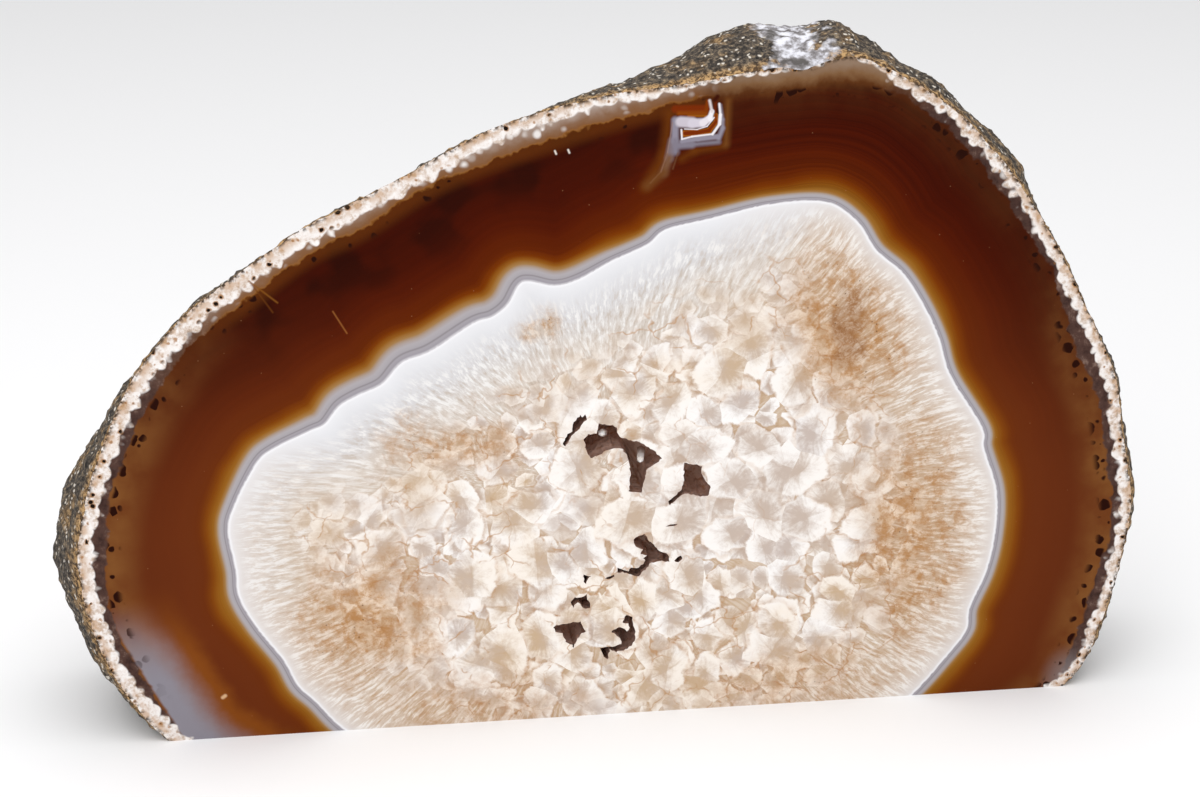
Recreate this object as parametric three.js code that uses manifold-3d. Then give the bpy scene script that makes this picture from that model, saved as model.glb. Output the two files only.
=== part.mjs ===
// Polished agate slice: a thick slab sawn from a nodule and left as one stone.
// One flat face is polished, the back is sawn flat, a third cut gives a flat base to stand on,
// and the rough natural rind runs round the rest. The quartz centre has small open pockets
// with crystal points in them.
// Millimetres, +Z up. The polished face looks along -Y. The origin is the middle of the base.

import * as THREE from 'three';
import { LoftGeometry } from 'three/addons/geometries/LoftGeometry.js';
import { ImprovedNoise } from 'three/addons/math/ImprovedNoise.js';
import { mergeVertices } from 'three/addons/utils/BufferGeometryUtils.js';
import Module from 'manifold-3d';

const THICKNESS = 30; // polished face to sawn back
const FACE_Y = -THICKNESS / 2; // plane of the polished face
const CENTRE_SHIFT = 0.9; // from the x of the outlines below to the middle of the stone

// Edge of the polished face as [x, z], from the left end of the base over the top to the
// right end of the base, and on through the part of the nodule that the base cut takes off.
const FACE_EDGE = [
  [-75.5, 0], [-81, 7.5], [-84.8, 15], [-87.6, 25], [-88.3, 35], [-86.3, 45], [-82.7, 55],
  [-77.2, 66], [-69.7, 75], [-59.6, 82.7], [-49.4, 89.6], [-39.5, 94.4], [-29.3, 99.7],
  [-20, 104.4], [-10, 107.5], [0, 109.5], [12, 110.8], [24.5, 112.7], [30, 112.5],
  [36.5, 114.2], [42.6, 112.4], [52, 106.8], [57.5, 102], [65, 93.2], [72.1, 82.2],
  [77.9, 71.1], [84, 57.8], [86, 47.7], [88.4, 35], [87.6, 24.9], [85.5, 14.7], [82.6, 5.5],
  [78.6, 0], [66, -10], [38, -18], [0, -21], [-38, -18], [-64, -9],
];
const EDGE_POINTS = 220; // points round each section of the nodule
const SECTIONS = 13; // sections from the polished face to the sawn back

// How far the rind stands out from the face's edge behind it: [direction from FLARE_CENTRE in
// degrees, bulge at MIDDLE_DEPTH, bulge at the sawn back].
const FLARE_CENTRE = [0, 42];
const MIDDLE_DEPTH = 0.42; // as a share of the thickness
const FLARE = [
  [0, 2, -4], [14, 0.5, -5], [28, 1, -5], [40, 1.5, -5], [50, 1, -6], [58, -0.5, -7],
  [64, 1, -7], [70, 2.5, -6], [76, 2, -7], [82, 0, -8], [90, -3, -10], [98, -4.5, -12],
  [150, -4.5, -12], [164, -3, -9], [172, 0, -6], [180, 3, -4], [192, 4.5, -3], [203, 4, -3],
  [209, 2.5, -3], [225, 2, -3], [320, 2, -3], [340, 2.5, -3], [360, 2, -4],
];

// Lumps of the rough rind
const LUMP_SIZE = 13;
const LUMP_HEIGHT = 1.1;
const KNOB_SIZE = 5.5;
const KNOB_HEIGHT = 0.9;
const KNOB_LEVEL = 0.25; // keeps the knobs as often below the surface as above it
const RIM_DEPTH = 4; // the lumps grow to full height over this depth behind each flat face

// Open pockets in the quartz: mouth in the polished face as [x, z], and depth.
const POCKETS = [
  {
    depth: 11,
    mouth: [
      [-2.8, 53.8], [-0.5, 53.4], [0.2, 52], [1, 51], [4.2, 49.9], [6.3, 48.5], [7.7, 47],
      [5.3, 45.3], [4.3, 41], [2.1, 41.4], [2.4, 45], [1.2, 49], [-1.2, 49], [-4.2, 47.7],
      [-5.4, 51], [-3.2, 52],
    ],
  },
  {
    depth: 9,
    mouth: [
      [11.4, 46], [14.4, 45.2], [14.3, 44], [15.9, 41.3], [15.4, 39.8], [11.5, 40.4],
      [9.1, 38.4], [8.8, 39.2], [10.9, 41], [11.4, 44],
    ],
  },
  {
    depth: 9,
    mouth: [
      [4.1, 33.2], [4.8, 33.5], [7.1, 30.4], [9, 29], [9.1, 28.1], [6, 28.1], [3.6, 25.7],
      [0.3, 26.6], [2.6, 27.4], [4.7, 27.9], [4.6, 30.6], [3, 32.5],
    ],
  },
  {
    depth: 8,
    mouth: [
      [-10.6, 17], [-10.1, 17.5], [-5.9, 17.9], [-5, 16], [-6.6, 14.3], [-7.1, 13],
      [-8.5, 14.2], [-9, 15.9],
    ],
  },
  {
    depth: 9,
    mouth: [
      [1.2, 17.2], [1.8, 18.6], [2.9, 18.2], [3.4, 14.1], [2, 12.2], [-1, 12.3], [-1.3, 10.5],
      [-2.6, 12.7], [1, 13.2], [-0.7, 15.5], [1.9, 15.7],
    ],
  },
  { depth: 6, mouth: [[-7, 54.2], [-5.9, 55.5], [-4.8, 54.5], [-6.9, 52.2], [-8.6, 50.1], [-8, 52.2]] },
  { depth: 5, mouth: [[-7.6, 21.6], [-6.9, 22.5], [-4.9, 22.9], [-4.3, 20.3], [-5.1, 20.2], [-6.4, 21.5]] },
];
const POCKET_FLOOR = 0.55; // floor's size as a share of the mouth's
const POCKET_RUN_OUT = 1; // the cut runs this far out of the polished face

// Quartz points in the pockets: [x, z, length, radius, lean to the right in degrees, lean up in
// degrees, depth of the root].
const CRYSTALS = [
  [-1.6, 51, 8, 1.5, 14, -8, 13],
  [3.6, 47.2, 8, 1.4, -12, 10, 13],
  [3.4, 44.2, 6, 1, 8, -14, 13],
  [13, 42.3, 7, 1.5, -10, 12, 11],
  [6.2, 29.6, 6.5, 1.2, -14, -8, 11],
  [-7.6, 16.4, 5.5, 1.2, 12, 8, 10],
  [1.9, 14.3, 6.5, 1.1, -10, 10, 11],
];
const CRYSTAL_SIDES = 6;
const CRYSTAL_POINT = 0.45; // share of its length that narrows to the tip

const BASE_CUT = new THREE.Vector3(260, 80, 60); // block that takes off the nodule below z = 0
const WELD = 1e-4; // vertices closer than this are one

const wasm = await Module();
wasm.setup();
const noise = new ImprovedNoise();

// Turns a closed geometry into a solid that can be joined and cut.
function solidOf(geometry) {
  const bare = new THREE.BufferGeometry();
  bare.setAttribute('position', geometry.attributes.position);
  bare.setIndex(geometry.index);
  const welded = mergeVertices(bare, WELD);
  const corners = welded.index.array;
  const triangles = [];
  for (let i = 0; i < corners.length; i += 3) {
    const [a, b, c] = corners.slice(i, i + 3);
    if (a !== b && b !== c && c !== a) triangles.push(a, b, c);
  }
  return new wasm.Manifold(new wasm.Mesh({
    numProp: 3,
    vertProperties: welded.attributes.position.array,
    triVerts: new Uint32Array(triangles),
  }));
}

// Turns a solid back into a geometry.
function geometryOf(solid) {
  const mesh = solid.getMesh();
  const geometry = new THREE.BufferGeometry();
  geometry.setAttribute('position', new THREE.BufferAttribute(mesh.vertProperties, 3));
  geometry.setIndex(new THREE.BufferAttribute(mesh.triVerts, 1));
  geometry.computeVertexNormals();
  return geometry;
}

// Bulge of the rind in a direction, at the middle depth and at the back.
function flareAt(degrees) {
  const next = FLARE.findIndex((row) => row[0] > degrees);
  const [from, middleFrom, backFrom] = FLARE[next - 1];
  const [to, middleTo, backTo] = FLARE[next];
  const share = THREE.MathUtils.smoothstep(degrees, from, to);
  return {
    middle: THREE.MathUtils.lerp(middleFrom, middleTo, share),
    back: THREE.MathUtils.lerp(backFrom, backTo, share),
  };
}

// Height of the rind's lumps at a place on it.
function rindRelief(x, y, z) {
  const lump = noise.noise(x / LUMP_SIZE, y / LUMP_SIZE, z / LUMP_SIZE);
  const knob = Math.abs(noise.noise(x / KNOB_SIZE, y / KNOB_SIZE, z / KNOB_SIZE));
  return LUMP_HEIGHT * lump + KNOB_HEIGHT * (knob - KNOB_LEVEL);
}

// One section through the nodule, depth being 0 at the polished face and 1 at the sawn back.
function noduleSection(edge, depth) {
  const y = FACE_Y + depth * THICKNESS;
  const middleShare = depth * (1 - depth) / (MIDDLE_DEPTH * (1 - MIDDLE_DEPTH));
  const backShare = depth * (depth - MIDDLE_DEPTH) / (1 - MIDDLE_DEPTH);
  const fromFlat = THICKNESS * Math.min(depth, 1 - depth);
  const rough = THREE.MathUtils.smoothstep(fromFlat, 0, RIM_DEPTH);
  return edge.map((point, i) => {
    const before = edge[(i + edge.length - 1) % edge.length];
    const after = edge[(i + 1) % edge.length];
    const outward = new THREE.Vector2(before.z - after.z, after.x - before.x).normalize();
    const angle = Math.atan2(point.z - FLARE_CENTRE[1], point.x - FLARE_CENTRE[0]);
    const flare = flareAt(THREE.MathUtils.euclideanModulo(THREE.MathUtils.radToDeg(angle), 360));
    const bulge = flare.middle * middleShare + flare.back * backShare;
    const out = bulge + rough * rindRelief(point.x, y, point.z);
    return new THREE.Vector3(point.x + out * outward.x, y, point.z + out * outward.y);
  });
}

// The nodule between its two parallel saw cuts.
function nodule() {
  const corners = FACE_EDGE.map(([x, z]) => new THREE.Vector3(x, 0, z));
  const curve = new THREE.CatmullRomCurve3(corners, true);
  const edge = curve.getSpacedPoints(EDGE_POINTS).slice(0, EDGE_POINTS);
  const sections = [];
  for (let i = 0; i < SECTIONS; i++) sections.push(noduleSection(edge, i / (SECTIONS - 1)));
  return solidOf(new LoftGeometry(sections, { capStart: true, capEnd: true }));
}

// The block below the stone's base.
function baseCut() {
  const block = new THREE.BoxGeometry(BASE_CUT.x, BASE_CUT.y, BASE_CUT.z);
  block.translate(0, 0, -BASE_CUT.z / 2);
  return solidOf(block);
}

// The space of one pocket, narrowing from its mouth to its floor.
function pocketSpace({ mouth, depth }) {
  const outline = new THREE.Shape(mouth.map(([x, z]) => new THREE.Vector2(x, z)));
  const length = depth + POCKET_RUN_OUT;
  const space = new THREE.ExtrudeGeometry(outline, { depth: length, bevelEnabled: false });
  const middleX = mouth.reduce((sum, corner) => sum + corner[0], 0) / mouth.length;
  const middleZ = mouth.reduce((sum, corner) => sum + corner[1], 0) / mouth.length;
  const places = space.attributes.position;
  for (let i = 0; i < places.count; i++) {
    const size = THREE.MathUtils.lerp(POCKET_FLOOR, 1, places.getZ(i) / depth);
    places.setX(i, middleX + size * (places.getX(i) - middleX));
    places.setY(i, middleZ + size * (places.getY(i) - middleZ));
  }
  space.rotateX(Math.PI / 2);
  space.translate(0, FACE_Y + depth, 0);
  return solidOf(space);
}

// One six-sided quartz point, rooted in a pocket's floor and pointing out of the face.
function crystal([x, z, length, radius, leanRight, leanUp, rootDepth]) {
  const shoulder = length * (1 - CRYSTAL_POINT);
  const profile = [
    new THREE.Vector2(0, 0),
    new THREE.Vector2(radius, 0),
    new THREE.Vector2(radius, shoulder),
    new THREE.Vector2(0, length),
  ];
  const point = new THREE.LatheGeometry(profile, CRYSTAL_SIDES);
  point.rotateX(Math.PI);
  point.rotateX(THREE.MathUtils.degToRad(-leanUp));
  point.rotateZ(THREE.MathUtils.degToRad(leanRight));
  point.translate(x, FACE_Y + rootDepth, z);
  return solidOf(point);
}

let stone = nodule().subtract(baseCut());
for (const pocket of POCKETS) stone = stone.subtract(pocketSpace(pocket));
for (const row of CRYSTALS) stone = stone.add(crystal(row));

const agate = new THREE.MeshStandardMaterial({ color: 0x7a4426, roughness: 0.3, metalness: 0 });
const agateSlice = new THREE.Mesh(geometryOf(stone), agate);
agateSlice.name = 'agate_slice';
agateSlice.position.x = CENTRE_SHIFT;

const slice = new THREE.Group();
slice.add(agateSlice);

export default slice;
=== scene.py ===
"""Polished agate slice: brown banded agate round a quartz heart, held in a rough rind."""
import logging
import math
import random
from dataclasses import dataclass
from enum import Enum

import bmesh
import bpy
import numpy as np
from mathutils import Euler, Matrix, Vector, kdtree, noise


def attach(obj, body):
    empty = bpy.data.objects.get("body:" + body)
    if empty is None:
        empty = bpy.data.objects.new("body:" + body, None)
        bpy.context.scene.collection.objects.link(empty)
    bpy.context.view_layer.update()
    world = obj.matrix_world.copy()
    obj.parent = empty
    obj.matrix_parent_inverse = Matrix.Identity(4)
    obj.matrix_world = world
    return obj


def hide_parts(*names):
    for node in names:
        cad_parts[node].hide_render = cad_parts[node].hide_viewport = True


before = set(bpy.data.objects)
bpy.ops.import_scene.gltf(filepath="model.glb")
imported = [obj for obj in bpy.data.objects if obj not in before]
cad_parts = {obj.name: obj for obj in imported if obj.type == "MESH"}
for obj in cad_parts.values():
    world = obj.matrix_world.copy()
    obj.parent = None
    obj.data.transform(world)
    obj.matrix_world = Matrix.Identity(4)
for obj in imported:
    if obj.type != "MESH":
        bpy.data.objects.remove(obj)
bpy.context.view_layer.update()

LOG = logging.getLogger("agate")

MM = 0.001
FULL_TURN = 2.0 * math.pi

# Sizes in millimetres. X and Z are measured on the polished face, from the middle of its base line.
CENTRE_SHIFT = 0.9
FACE_Y = -15.0
BACK_Y = 15.0
THICKNESS = BACK_Y - FACE_Y
HEART = np.array((0.0, 38.0))

Point = tuple[float, float]
Tone = tuple[int, int, int]
Socket = bpy.types.NodeSocket
Inputs = dict[str, Socket]
Value = Socket | float | tuple[float, ...]
Mark = tuple[Point, Point, float, float, Tone]

# Outline of the polished face, clockwise from the left end of the base.
FACE_EDGE: tuple[Point, ...] = (
    (-75.5, 0), (-81, 7.5), (-84.8, 15), (-87.6, 25), (-88.3, 35), (-86.3, 45), (-82.7, 55), (-77.2, 66),
    (-69.7, 75), (-59.6, 82.7), (-49.4, 89.6), (-39.5, 94.4), (-29.3, 99.7), (-20, 104.4), (-10, 107.5),
    (0, 109.5), (12, 110.8), (24.5, 112.7), (30, 112.5), (36.5, 114.2), (42.6, 112.4), (52, 106.8),
    (57.5, 102), (65, 93.2), (72.1, 82.2), (77.9, 71.1), (84, 57.8), (86, 47.7), (88.4, 35), (87.6, 24.9),
    (85.5, 14.7), (82.6, 5.5), (78.6, 0), (66, -10), (38, -18), (0, -21), (-38, -18), (-64, -9),
)
# Outer edge of the brown agate, where the clear layer under the white skin starts.
BROWN_EDGE: tuple[Point, ...] = (
    (-72, 0), (-74.8, 5), (-79.7, 15), (-82.7, 22), (-83.6, 30), (-83, 38), (-81.9, 45), (-78, 55),
    (-74, 62), (-67.5, 70.7), (-59, 77.4), (-49.6, 84.3), (-40.3, 88.6), (-29.6, 95), (-20, 98.8),
    (-5, 103.5), (5, 106.1), (14.5, 107.9), (27, 108.8), (36, 109.6), (43, 108.2), (51, 103.3),
    (59.7, 94.1), (65.7, 85.4), (72.1, 75.7), (76.3, 63.3), (80.9, 53.7), (83.4, 41.7), (84.7, 30),
    (82.2, 18.4), (79.2, 7.3), (76.2, 0), (63, -8.6), (38, -16.6), (0, -19.6), (-38, -16.4), (-61.5, -8),
)
# The wall that the quartz grew from, inside the grey band.
QUARTZ_WALL: tuple[Point, ...] = (
    (-46, 0), (-50.7, 5.7), (-53.6, 9), (-55.8, 13.9), (-60, 20.4), (-62.6, 26), (-62.9, 31), (-63.8, 38),
    (-62.6, 42.5), (-58.8, 49.6), (-55.8, 52.2), (-50, 54.9), (-47.5, 56), (-45, 59), (-42, 60.7),
    (-38, 62.5), (-34.7, 66), (-30, 67.8), (-23.3, 72.1), (-20, 73.2), (-17.5, 75.2), (-15.7, 78.4),
    (-14, 78.9), (-10, 78), (-6.1, 78.9), (-0.7, 81.8), (5, 84.3), (8, 86.7), (15.4, 88.3), (24.7, 90.2),
    (33.7, 90.3), (39, 86.9), (42.4, 81.8), (47, 77.6), (50.6, 72.1), (53.5, 66.1), (55.8, 59.2),
    (61.6, 49.7), (62.2, 45.8), (64.7, 38), (64.9, 30), (63.7, 22.9), (61.2, 16.3), (60.8, 12),
    (57.6, 7.3), (51.6, 0), (42, -9), (22, -15), (0, -17), (-20, -14), (-36, -8),
)
# Rind: direction in degrees, bulge at the middle of the thickness, bulge at the back.
FLARE_CENTRE = (0.0, 42.0)
MIDDLE_DEPTH = 0.42
FLARE: tuple[tuple[float, float, float], ...] = (
    (0, 2, -4), (14, 0.5, -5), (28, 1, -5), (40, 1.5, -5), (48, 0.6, -6), (55, -0.6, -7), (60, 0.6, -7),
    (64, 2.4, -6), (67, 3.4, -6), (70, 3.2, -6), (76, 2, -7), (82, 0, -8), (90, -3, -10), (98, -4.5, -12),
    (150, -4.5, -12),
    (164, -3, -9), (172, 0, -6), (180, 3, -4), (192, 4.5, -3), (203, 4, -3), (209, 2.5, -3),
    (225, 2, -3), (320, 2, -3), (340, 2.5, -3), (360, 2, -4),
)
# Width of the grey band by direction from the heart, in degrees and millimetres.
GREY_WIDTH: tuple[Point, ...] = (
    (0, 1.7), (30, 1.6), (60, 1.6), (75, 1.7), (88, 2.1), (100, 2.8), (115, 3.3), (135, 3.8), (150, 3.4),
    (163, 2.6), (180, 2.0), (215, 1.9), (330, 1.7), (360, 1.7),
)
# The skin by direction from the heart: degrees, width of the white, share of mist and share of tan.
SKIN: tuple[tuple[float, float, float, float], ...] = (
    (0, 2.4, 0, 0), (40, 2.2, 0, 0), (52, 2.0, 0, 0), (57, 2.0, 0, 0.4), (60, 1.8, 0, 1), (62, 1.2, 0, 1),
    (64, 0.2, 0, 1), (69, 0.2, 0, 1), (71, 1.1, 0, 1), (76, 0.9, 0.1, 0.9), (80, 1.0, 1, 0.2),
    (86, 1.7, 1, 0),
    (100, 2.4, 1, 0), (120, 3.0, 1, 0), (146, 3.2, 1, 0), (156, 3.2, 0.2, 0), (164, 2.9, 0, 0),
    (185, 2.8, 0, 0), (205, 2.8, 0, 0), (215, 2.5, 0, 0), (330, 2.2, 0, 0), (360, 2.4, 0, 0),
)
# Where the quartz at the wall is smooth and milky, by direction from the heart.
MILK: tuple[Point, ...] = (
    (0, 0.0), (52, 0.0), (62, 0.7), (75, 1.0), (160, 1.0), (172, 0.55), (186, 0.3), (206, 0.0), (360, 0.0),
)


class Zone(Enum):
    """Surface of the stone, by its material slot."""

    QUARTZ = 0
    AGATE = 1
    RIND = 2
    SAWN = 3
    POCKET = 4
    CRYSTAL = 5
    INCLUSION = 6


def linear(tone: Tone) -> tuple[float, float, float, float]:
    """Turn a display colour of 0 to 255 into the renderer's light values.

    Args:
        tone: Red, green and blue as a screen shows them.

    Returns:
        The colour with full alpha.
    """
    shares = [part / 255.0 for part in tone]
    light = [s / 12.92 if s <= 0.04045 else ((s + 0.055) / 1.055) ** 2.4 for s in shares]
    return light[0], light[1], light[2], 1.0


def eased(table: tuple[tuple[float, ...], ...], column: int, degrees: np.ndarray) -> np.ndarray:
    """Read a column of a table by direction, eased between its rows.

    Args:
        table: Rows that start with a direction in degrees.
        column: Column to read.
        degrees: Directions from 0 to 360.

    Returns:
        One value for each direction.
    """
    rows = np.array(table, dtype=float)
    at = np.clip(np.searchsorted(rows[:, 0], degrees, side="right") - 1, 0, len(rows) - 2)
    part = (degrees - rows[at, 0]) / (rows[at + 1, 0] - rows[at, 0])
    part = part * part * (3.0 - 2.0 * part)
    return rows[at, column] + (rows[at + 1, column] - rows[at, column]) * part


@dataclass(frozen=True)
class Outline:
    """A closed smooth line through a few points of the face."""

    corners: tuple[Point, ...]

    def trace(self, steps: int = 40) -> np.ndarray:
        """Follow the line closely.

        Args:
            steps: Points between two corners.

        Returns:
            The points in order, in millimetres.
        """
        knots = np.array(self.corners, dtype=float)
        before, after, last = np.roll(knots, 1, 0), np.roll(knots, -1, 0), np.roll(knots, -2, 0)
        t = np.linspace(0.0, 1.0, steps, endpoint=False)[None, :, None]
        p0, p1, p2, p3 = (k[:, None, :] for k in (before, knots, after, last))
        curve = 0.5 * (
            2 * p1 + (p2 - p0) * t + (2 * p0 - 5 * p1 + 4 * p2 - p3) * t**2
            + (3 * p1 - p0 - 3 * p2 + p3) * t**3
        )
        return curve.reshape(-1, 2)

    def stations(self, count: int) -> np.ndarray:
        """Space points evenly along the line.

        Args:
            count: How many points.

        Returns:
            The points in order.
        """
        line = self.trace()
        closed = np.vstack((line, line[:1]))
        along = np.concatenate(([0.0], np.cumsum(np.linalg.norm(np.diff(closed, axis=0), axis=1))))
        at = np.linspace(0.0, along[-1], count, endpoint=False)
        return np.column_stack([np.interp(at, along, closed[:, k]) for k in (0, 1)])

    def reach(self, angles: np.ndarray) -> np.ndarray:
        """Measure how far the line is from the heart.

        Args:
            angles: Directions in radians.

        Returns:
            The distance in each direction.
        """
        return self.by_angle(self.trace() - HEART, angles)

    @staticmethod
    def by_angle(arms: np.ndarray, angles: np.ndarray) -> np.ndarray:
        """Look the arms' lengths up by direction."""
        turn = np.mod(np.arctan2(arms[:, 1], arms[:, 0]), FULL_TURN)
        order = np.argsort(turn)
        lengths = np.linalg.norm(arms, axis=1)
        return np.interp(np.mod(angles, FULL_TURN), turn[order], lengths[order], period=FULL_TURN)


def bearing(points: np.ndarray, centre: np.ndarray = HEART) -> np.ndarray:
    """Give each point's direction from a centre in radians."""
    arms = points - centre
    return np.mod(np.arctan2(arms[:, 1], arms[:, 0]), FULL_TURN)


@dataclass(frozen=True)
class Layers:
    """The lines that part the stone's layers on one flat side."""

    edge: np.ndarray
    brown: np.ndarray
    wall: np.ndarray

    @staticmethod
    def _signed(points: np.ndarray, line: np.ndarray) -> np.ndarray:
        """Measure the distance to a closed line.

        Args:
            points: Places on the flat side.
            line: Close points of the line.

        Returns:
            Distances, positive outside the line.
        """
        tree = kdtree.KDTree(len(line))
        for index, (x, z) in enumerate(line):
            tree.insert((x, z, 0.0), index)
        tree.balance()
        gaps = np.array([tree.find((x, z, 0.0))[2] for x, z in points])
        arms = line - HEART
        reach = Outline.by_angle(arms, bearing(points))
        outside = np.linalg.norm(points - HEART, axis=1) > reach
        return np.where(outside, gaps, -gaps)

    def fields(self, points: np.ndarray) -> dict[str, np.ndarray]:
        """Measure the layers at each point.

        Args:
            points: Places on the flat side.

        Returns:
            Distance outward from the quartz wall, outward from the brown's edge and inward from the rind.
        """
        return {
            "wall": self._signed(points, self.wall),
            "skin": self._signed(points, self.brown),
            "rim": -self._signed(points, self.edge),
        }


class Loft:
    """A shell that grows ring by ring from one closed loop."""

    def __init__(self, bm: bmesh.types.BMesh, points: np.ndarray) -> None:
        """Start the shell.

        Args:
            bm: Mesh that takes the shell.
            points: Places of the first loop, in millimetres of the measured face.
        """
        self.bm = bm
        made = bmesh.ops.create_circle(bm, cap_ends=False, segments=len(points), radius=1.0)
        self.ring: list[bmesh.types.BMVert] = made["verts"]
        self._place(points)
        self.mouth = self._edges()

    def _place(self, points: np.ndarray) -> None:
        """Move the current ring to its places."""
        for vert, (x, y, z) in zip(self.ring, points):
            vert.co = ((x + CENTRE_SHIFT) * MM, y * MM, z * MM)

    def _edges(self) -> list[bmesh.types.BMEdge]:
        """List the edges of the current ring in order."""
        pairs = zip(self.ring, self.ring[1:] + self.ring[:1])
        return [self.bm.edges.get(pair) for pair in pairs]

    def grow(self, points: np.ndarray, zone: Zone) -> None:
        """Extrude the current ring and place the new one.

        Args:
            points: Places of the new ring.
            zone: Surface of the band between the rings.
        """
        made = bmesh.ops.extrude_edge_only(self.bm, edges=self._edges())["geom"]
        fresh = {item for item in made if isinstance(item, bmesh.types.BMVert)}
        for face in (item for item in made if isinstance(item, bmesh.types.BMFace)):
            face.material_index = zone.value
        follow = []
        for vert in self.ring:
            follow.append(next(e.other_vert(vert) for e in vert.link_edges if e.other_vert(vert) in fresh))
        self.ring = follow
        self._place(points)

    def close(self, zone: Zone) -> None:
        """Fill the current ring.

        Args:
            zone: Surface of the fill.
        """
        made = bmesh.ops.triangle_fill(self.bm, use_beauty=True, edges=self._edges())["geom"]
        for face in (item for item in made if isinstance(item, bmesh.types.BMFace)):
            face.material_index = zone.value


POINT_WIDTH = (0.7, 1.0)
POINT_LENGTH = (3.0, 4.5)
POINT_LEAN = 35.0
# Rings of a pocket's wall: share of its depth and size against its mouth.
POCKET_RINGS: tuple[Point, ...] = ((0.12, 1.05), (0.4, 1.12), (0.75, 0.95), (1.0, 0.55))
WALL_RAGGED = 0.18


@dataclass(frozen=True)
class Pocket:
    """An open pocket in the quartz, with points of quartz in it."""

    corners: tuple[Point, ...]
    depth: float
    points: tuple[Point, ...] = ()
    step: float = 0.42
    ragged: float = 0.15

    def mouth(self, dice: random.Random) -> np.ndarray:
        """Break the straight sides of the mouth up.

        Args:
            dice: Source of the wander.

        Returns:
            The places round the mouth.
        """
        places = []
        for start, end in zip(self.corners, self.corners[1:] + self.corners[:1]):
            first, last = np.array(start), np.array(end)
            count = max(1, round(float(np.linalg.norm(last - first)) / self.step))
            places.append(first)
            for index in range(1, count):
                wander = [dice.uniform(-self.ragged, self.ragged) for _ in range(2)]
                places.append(first + (last - first) * index / count + wander)
        return np.array(places)

    def build(self, bm: bmesh.types.BMesh, dice: random.Random) -> list[bmesh.types.BMEdge]:
        """Build the wall and floor and the quartz points.

        Args:
            bm: Mesh of the stone.
            dice: Source of the wander.

        Returns:
            The edges of the mouth.
        """
        mouth = self.mouth(dice)
        wall = Loft(bm, self._ring(mouth, 0.0, 1.0, 0.0, dice))
        for share, spread in POCKET_RINGS:
            wall.grow(self._ring(mouth, self.depth * share, spread, WALL_RAGGED, dice), Zone.POCKET)
        wall.close(Zone.POCKET)
        for place in self.points:
            self._point(bm, place, dice)
        return wall.mouth

    @staticmethod
    def _ring(
        mouth: np.ndarray, depth: float, spread: float, ragged: float, dice: random.Random
    ) -> np.ndarray:
        """Place one ring of the pocket's wall.

        Args:
            mouth: Places round the mouth.
            depth: Distance behind the polished face.
            spread: Size against the mouth.
            ragged: Largest wander of a point.
            dice: Source of the wander.

        Returns:
            The ring's places.
        """
        middle = mouth.mean(axis=0)
        flat = middle + (mouth - middle) * spread
        wander = np.array([[dice.uniform(-ragged, ragged) for _ in range(3)] for _ in mouth])
        return np.column_stack((flat[:, 0], np.full(len(flat), FACE_Y + depth), flat[:, 1])) + wander

    @staticmethod
    def _point(bm: bmesh.types.BMesh, place: Point, dice: random.Random) -> None:
        """Stand one six-sided quartz point in the pocket.

        Args:
            bm: Mesh of the stone.
            place: Where it stands on the face.
            dice: Source of its size and lean.
        """
        width = dice.uniform(*POINT_WIDTH)
        length = dice.uniform(*POINT_LENGTH)
        made = bmesh.ops.create_cone(
            bm, cap_ends=True, segments=6, radius1=width * MM, radius2=width * 0.8 * MM, depth=length * MM
        )["verts"]
        tip = max(
            {face for vert in made for face in vert.link_faces}, key=lambda face: face.calc_center_median().z
        )
        bmesh.ops.poke(bm, faces=[tip], offset=width * 1.1 * MM)
        body = set(made)
        for vert in made:
            body.update(edge.other_vert(vert) for edge in vert.link_edges)
        tilt, turn = (math.radians(dice.uniform(-POINT_LEAN, POINT_LEAN)) for _ in range(2))
        lean = Euler((math.pi / 2 + tilt, 0.0, turn))
        bmesh.ops.rotate(bm, verts=list(body), cent=(0, 0, 0), matrix=lean.to_matrix())
        sunk = FACE_Y + 0.3 + length * 0.5 + width
        bmesh.ops.translate(
            bm, verts=list(body), vec=((place[0] + CENTRE_SHIFT) * MM, sunk * MM, place[1] * MM)
        )
        for face in {face for vert in body for face in vert.link_faces}:
            face.material_index = Zone.CRYSTAL.value


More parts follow.
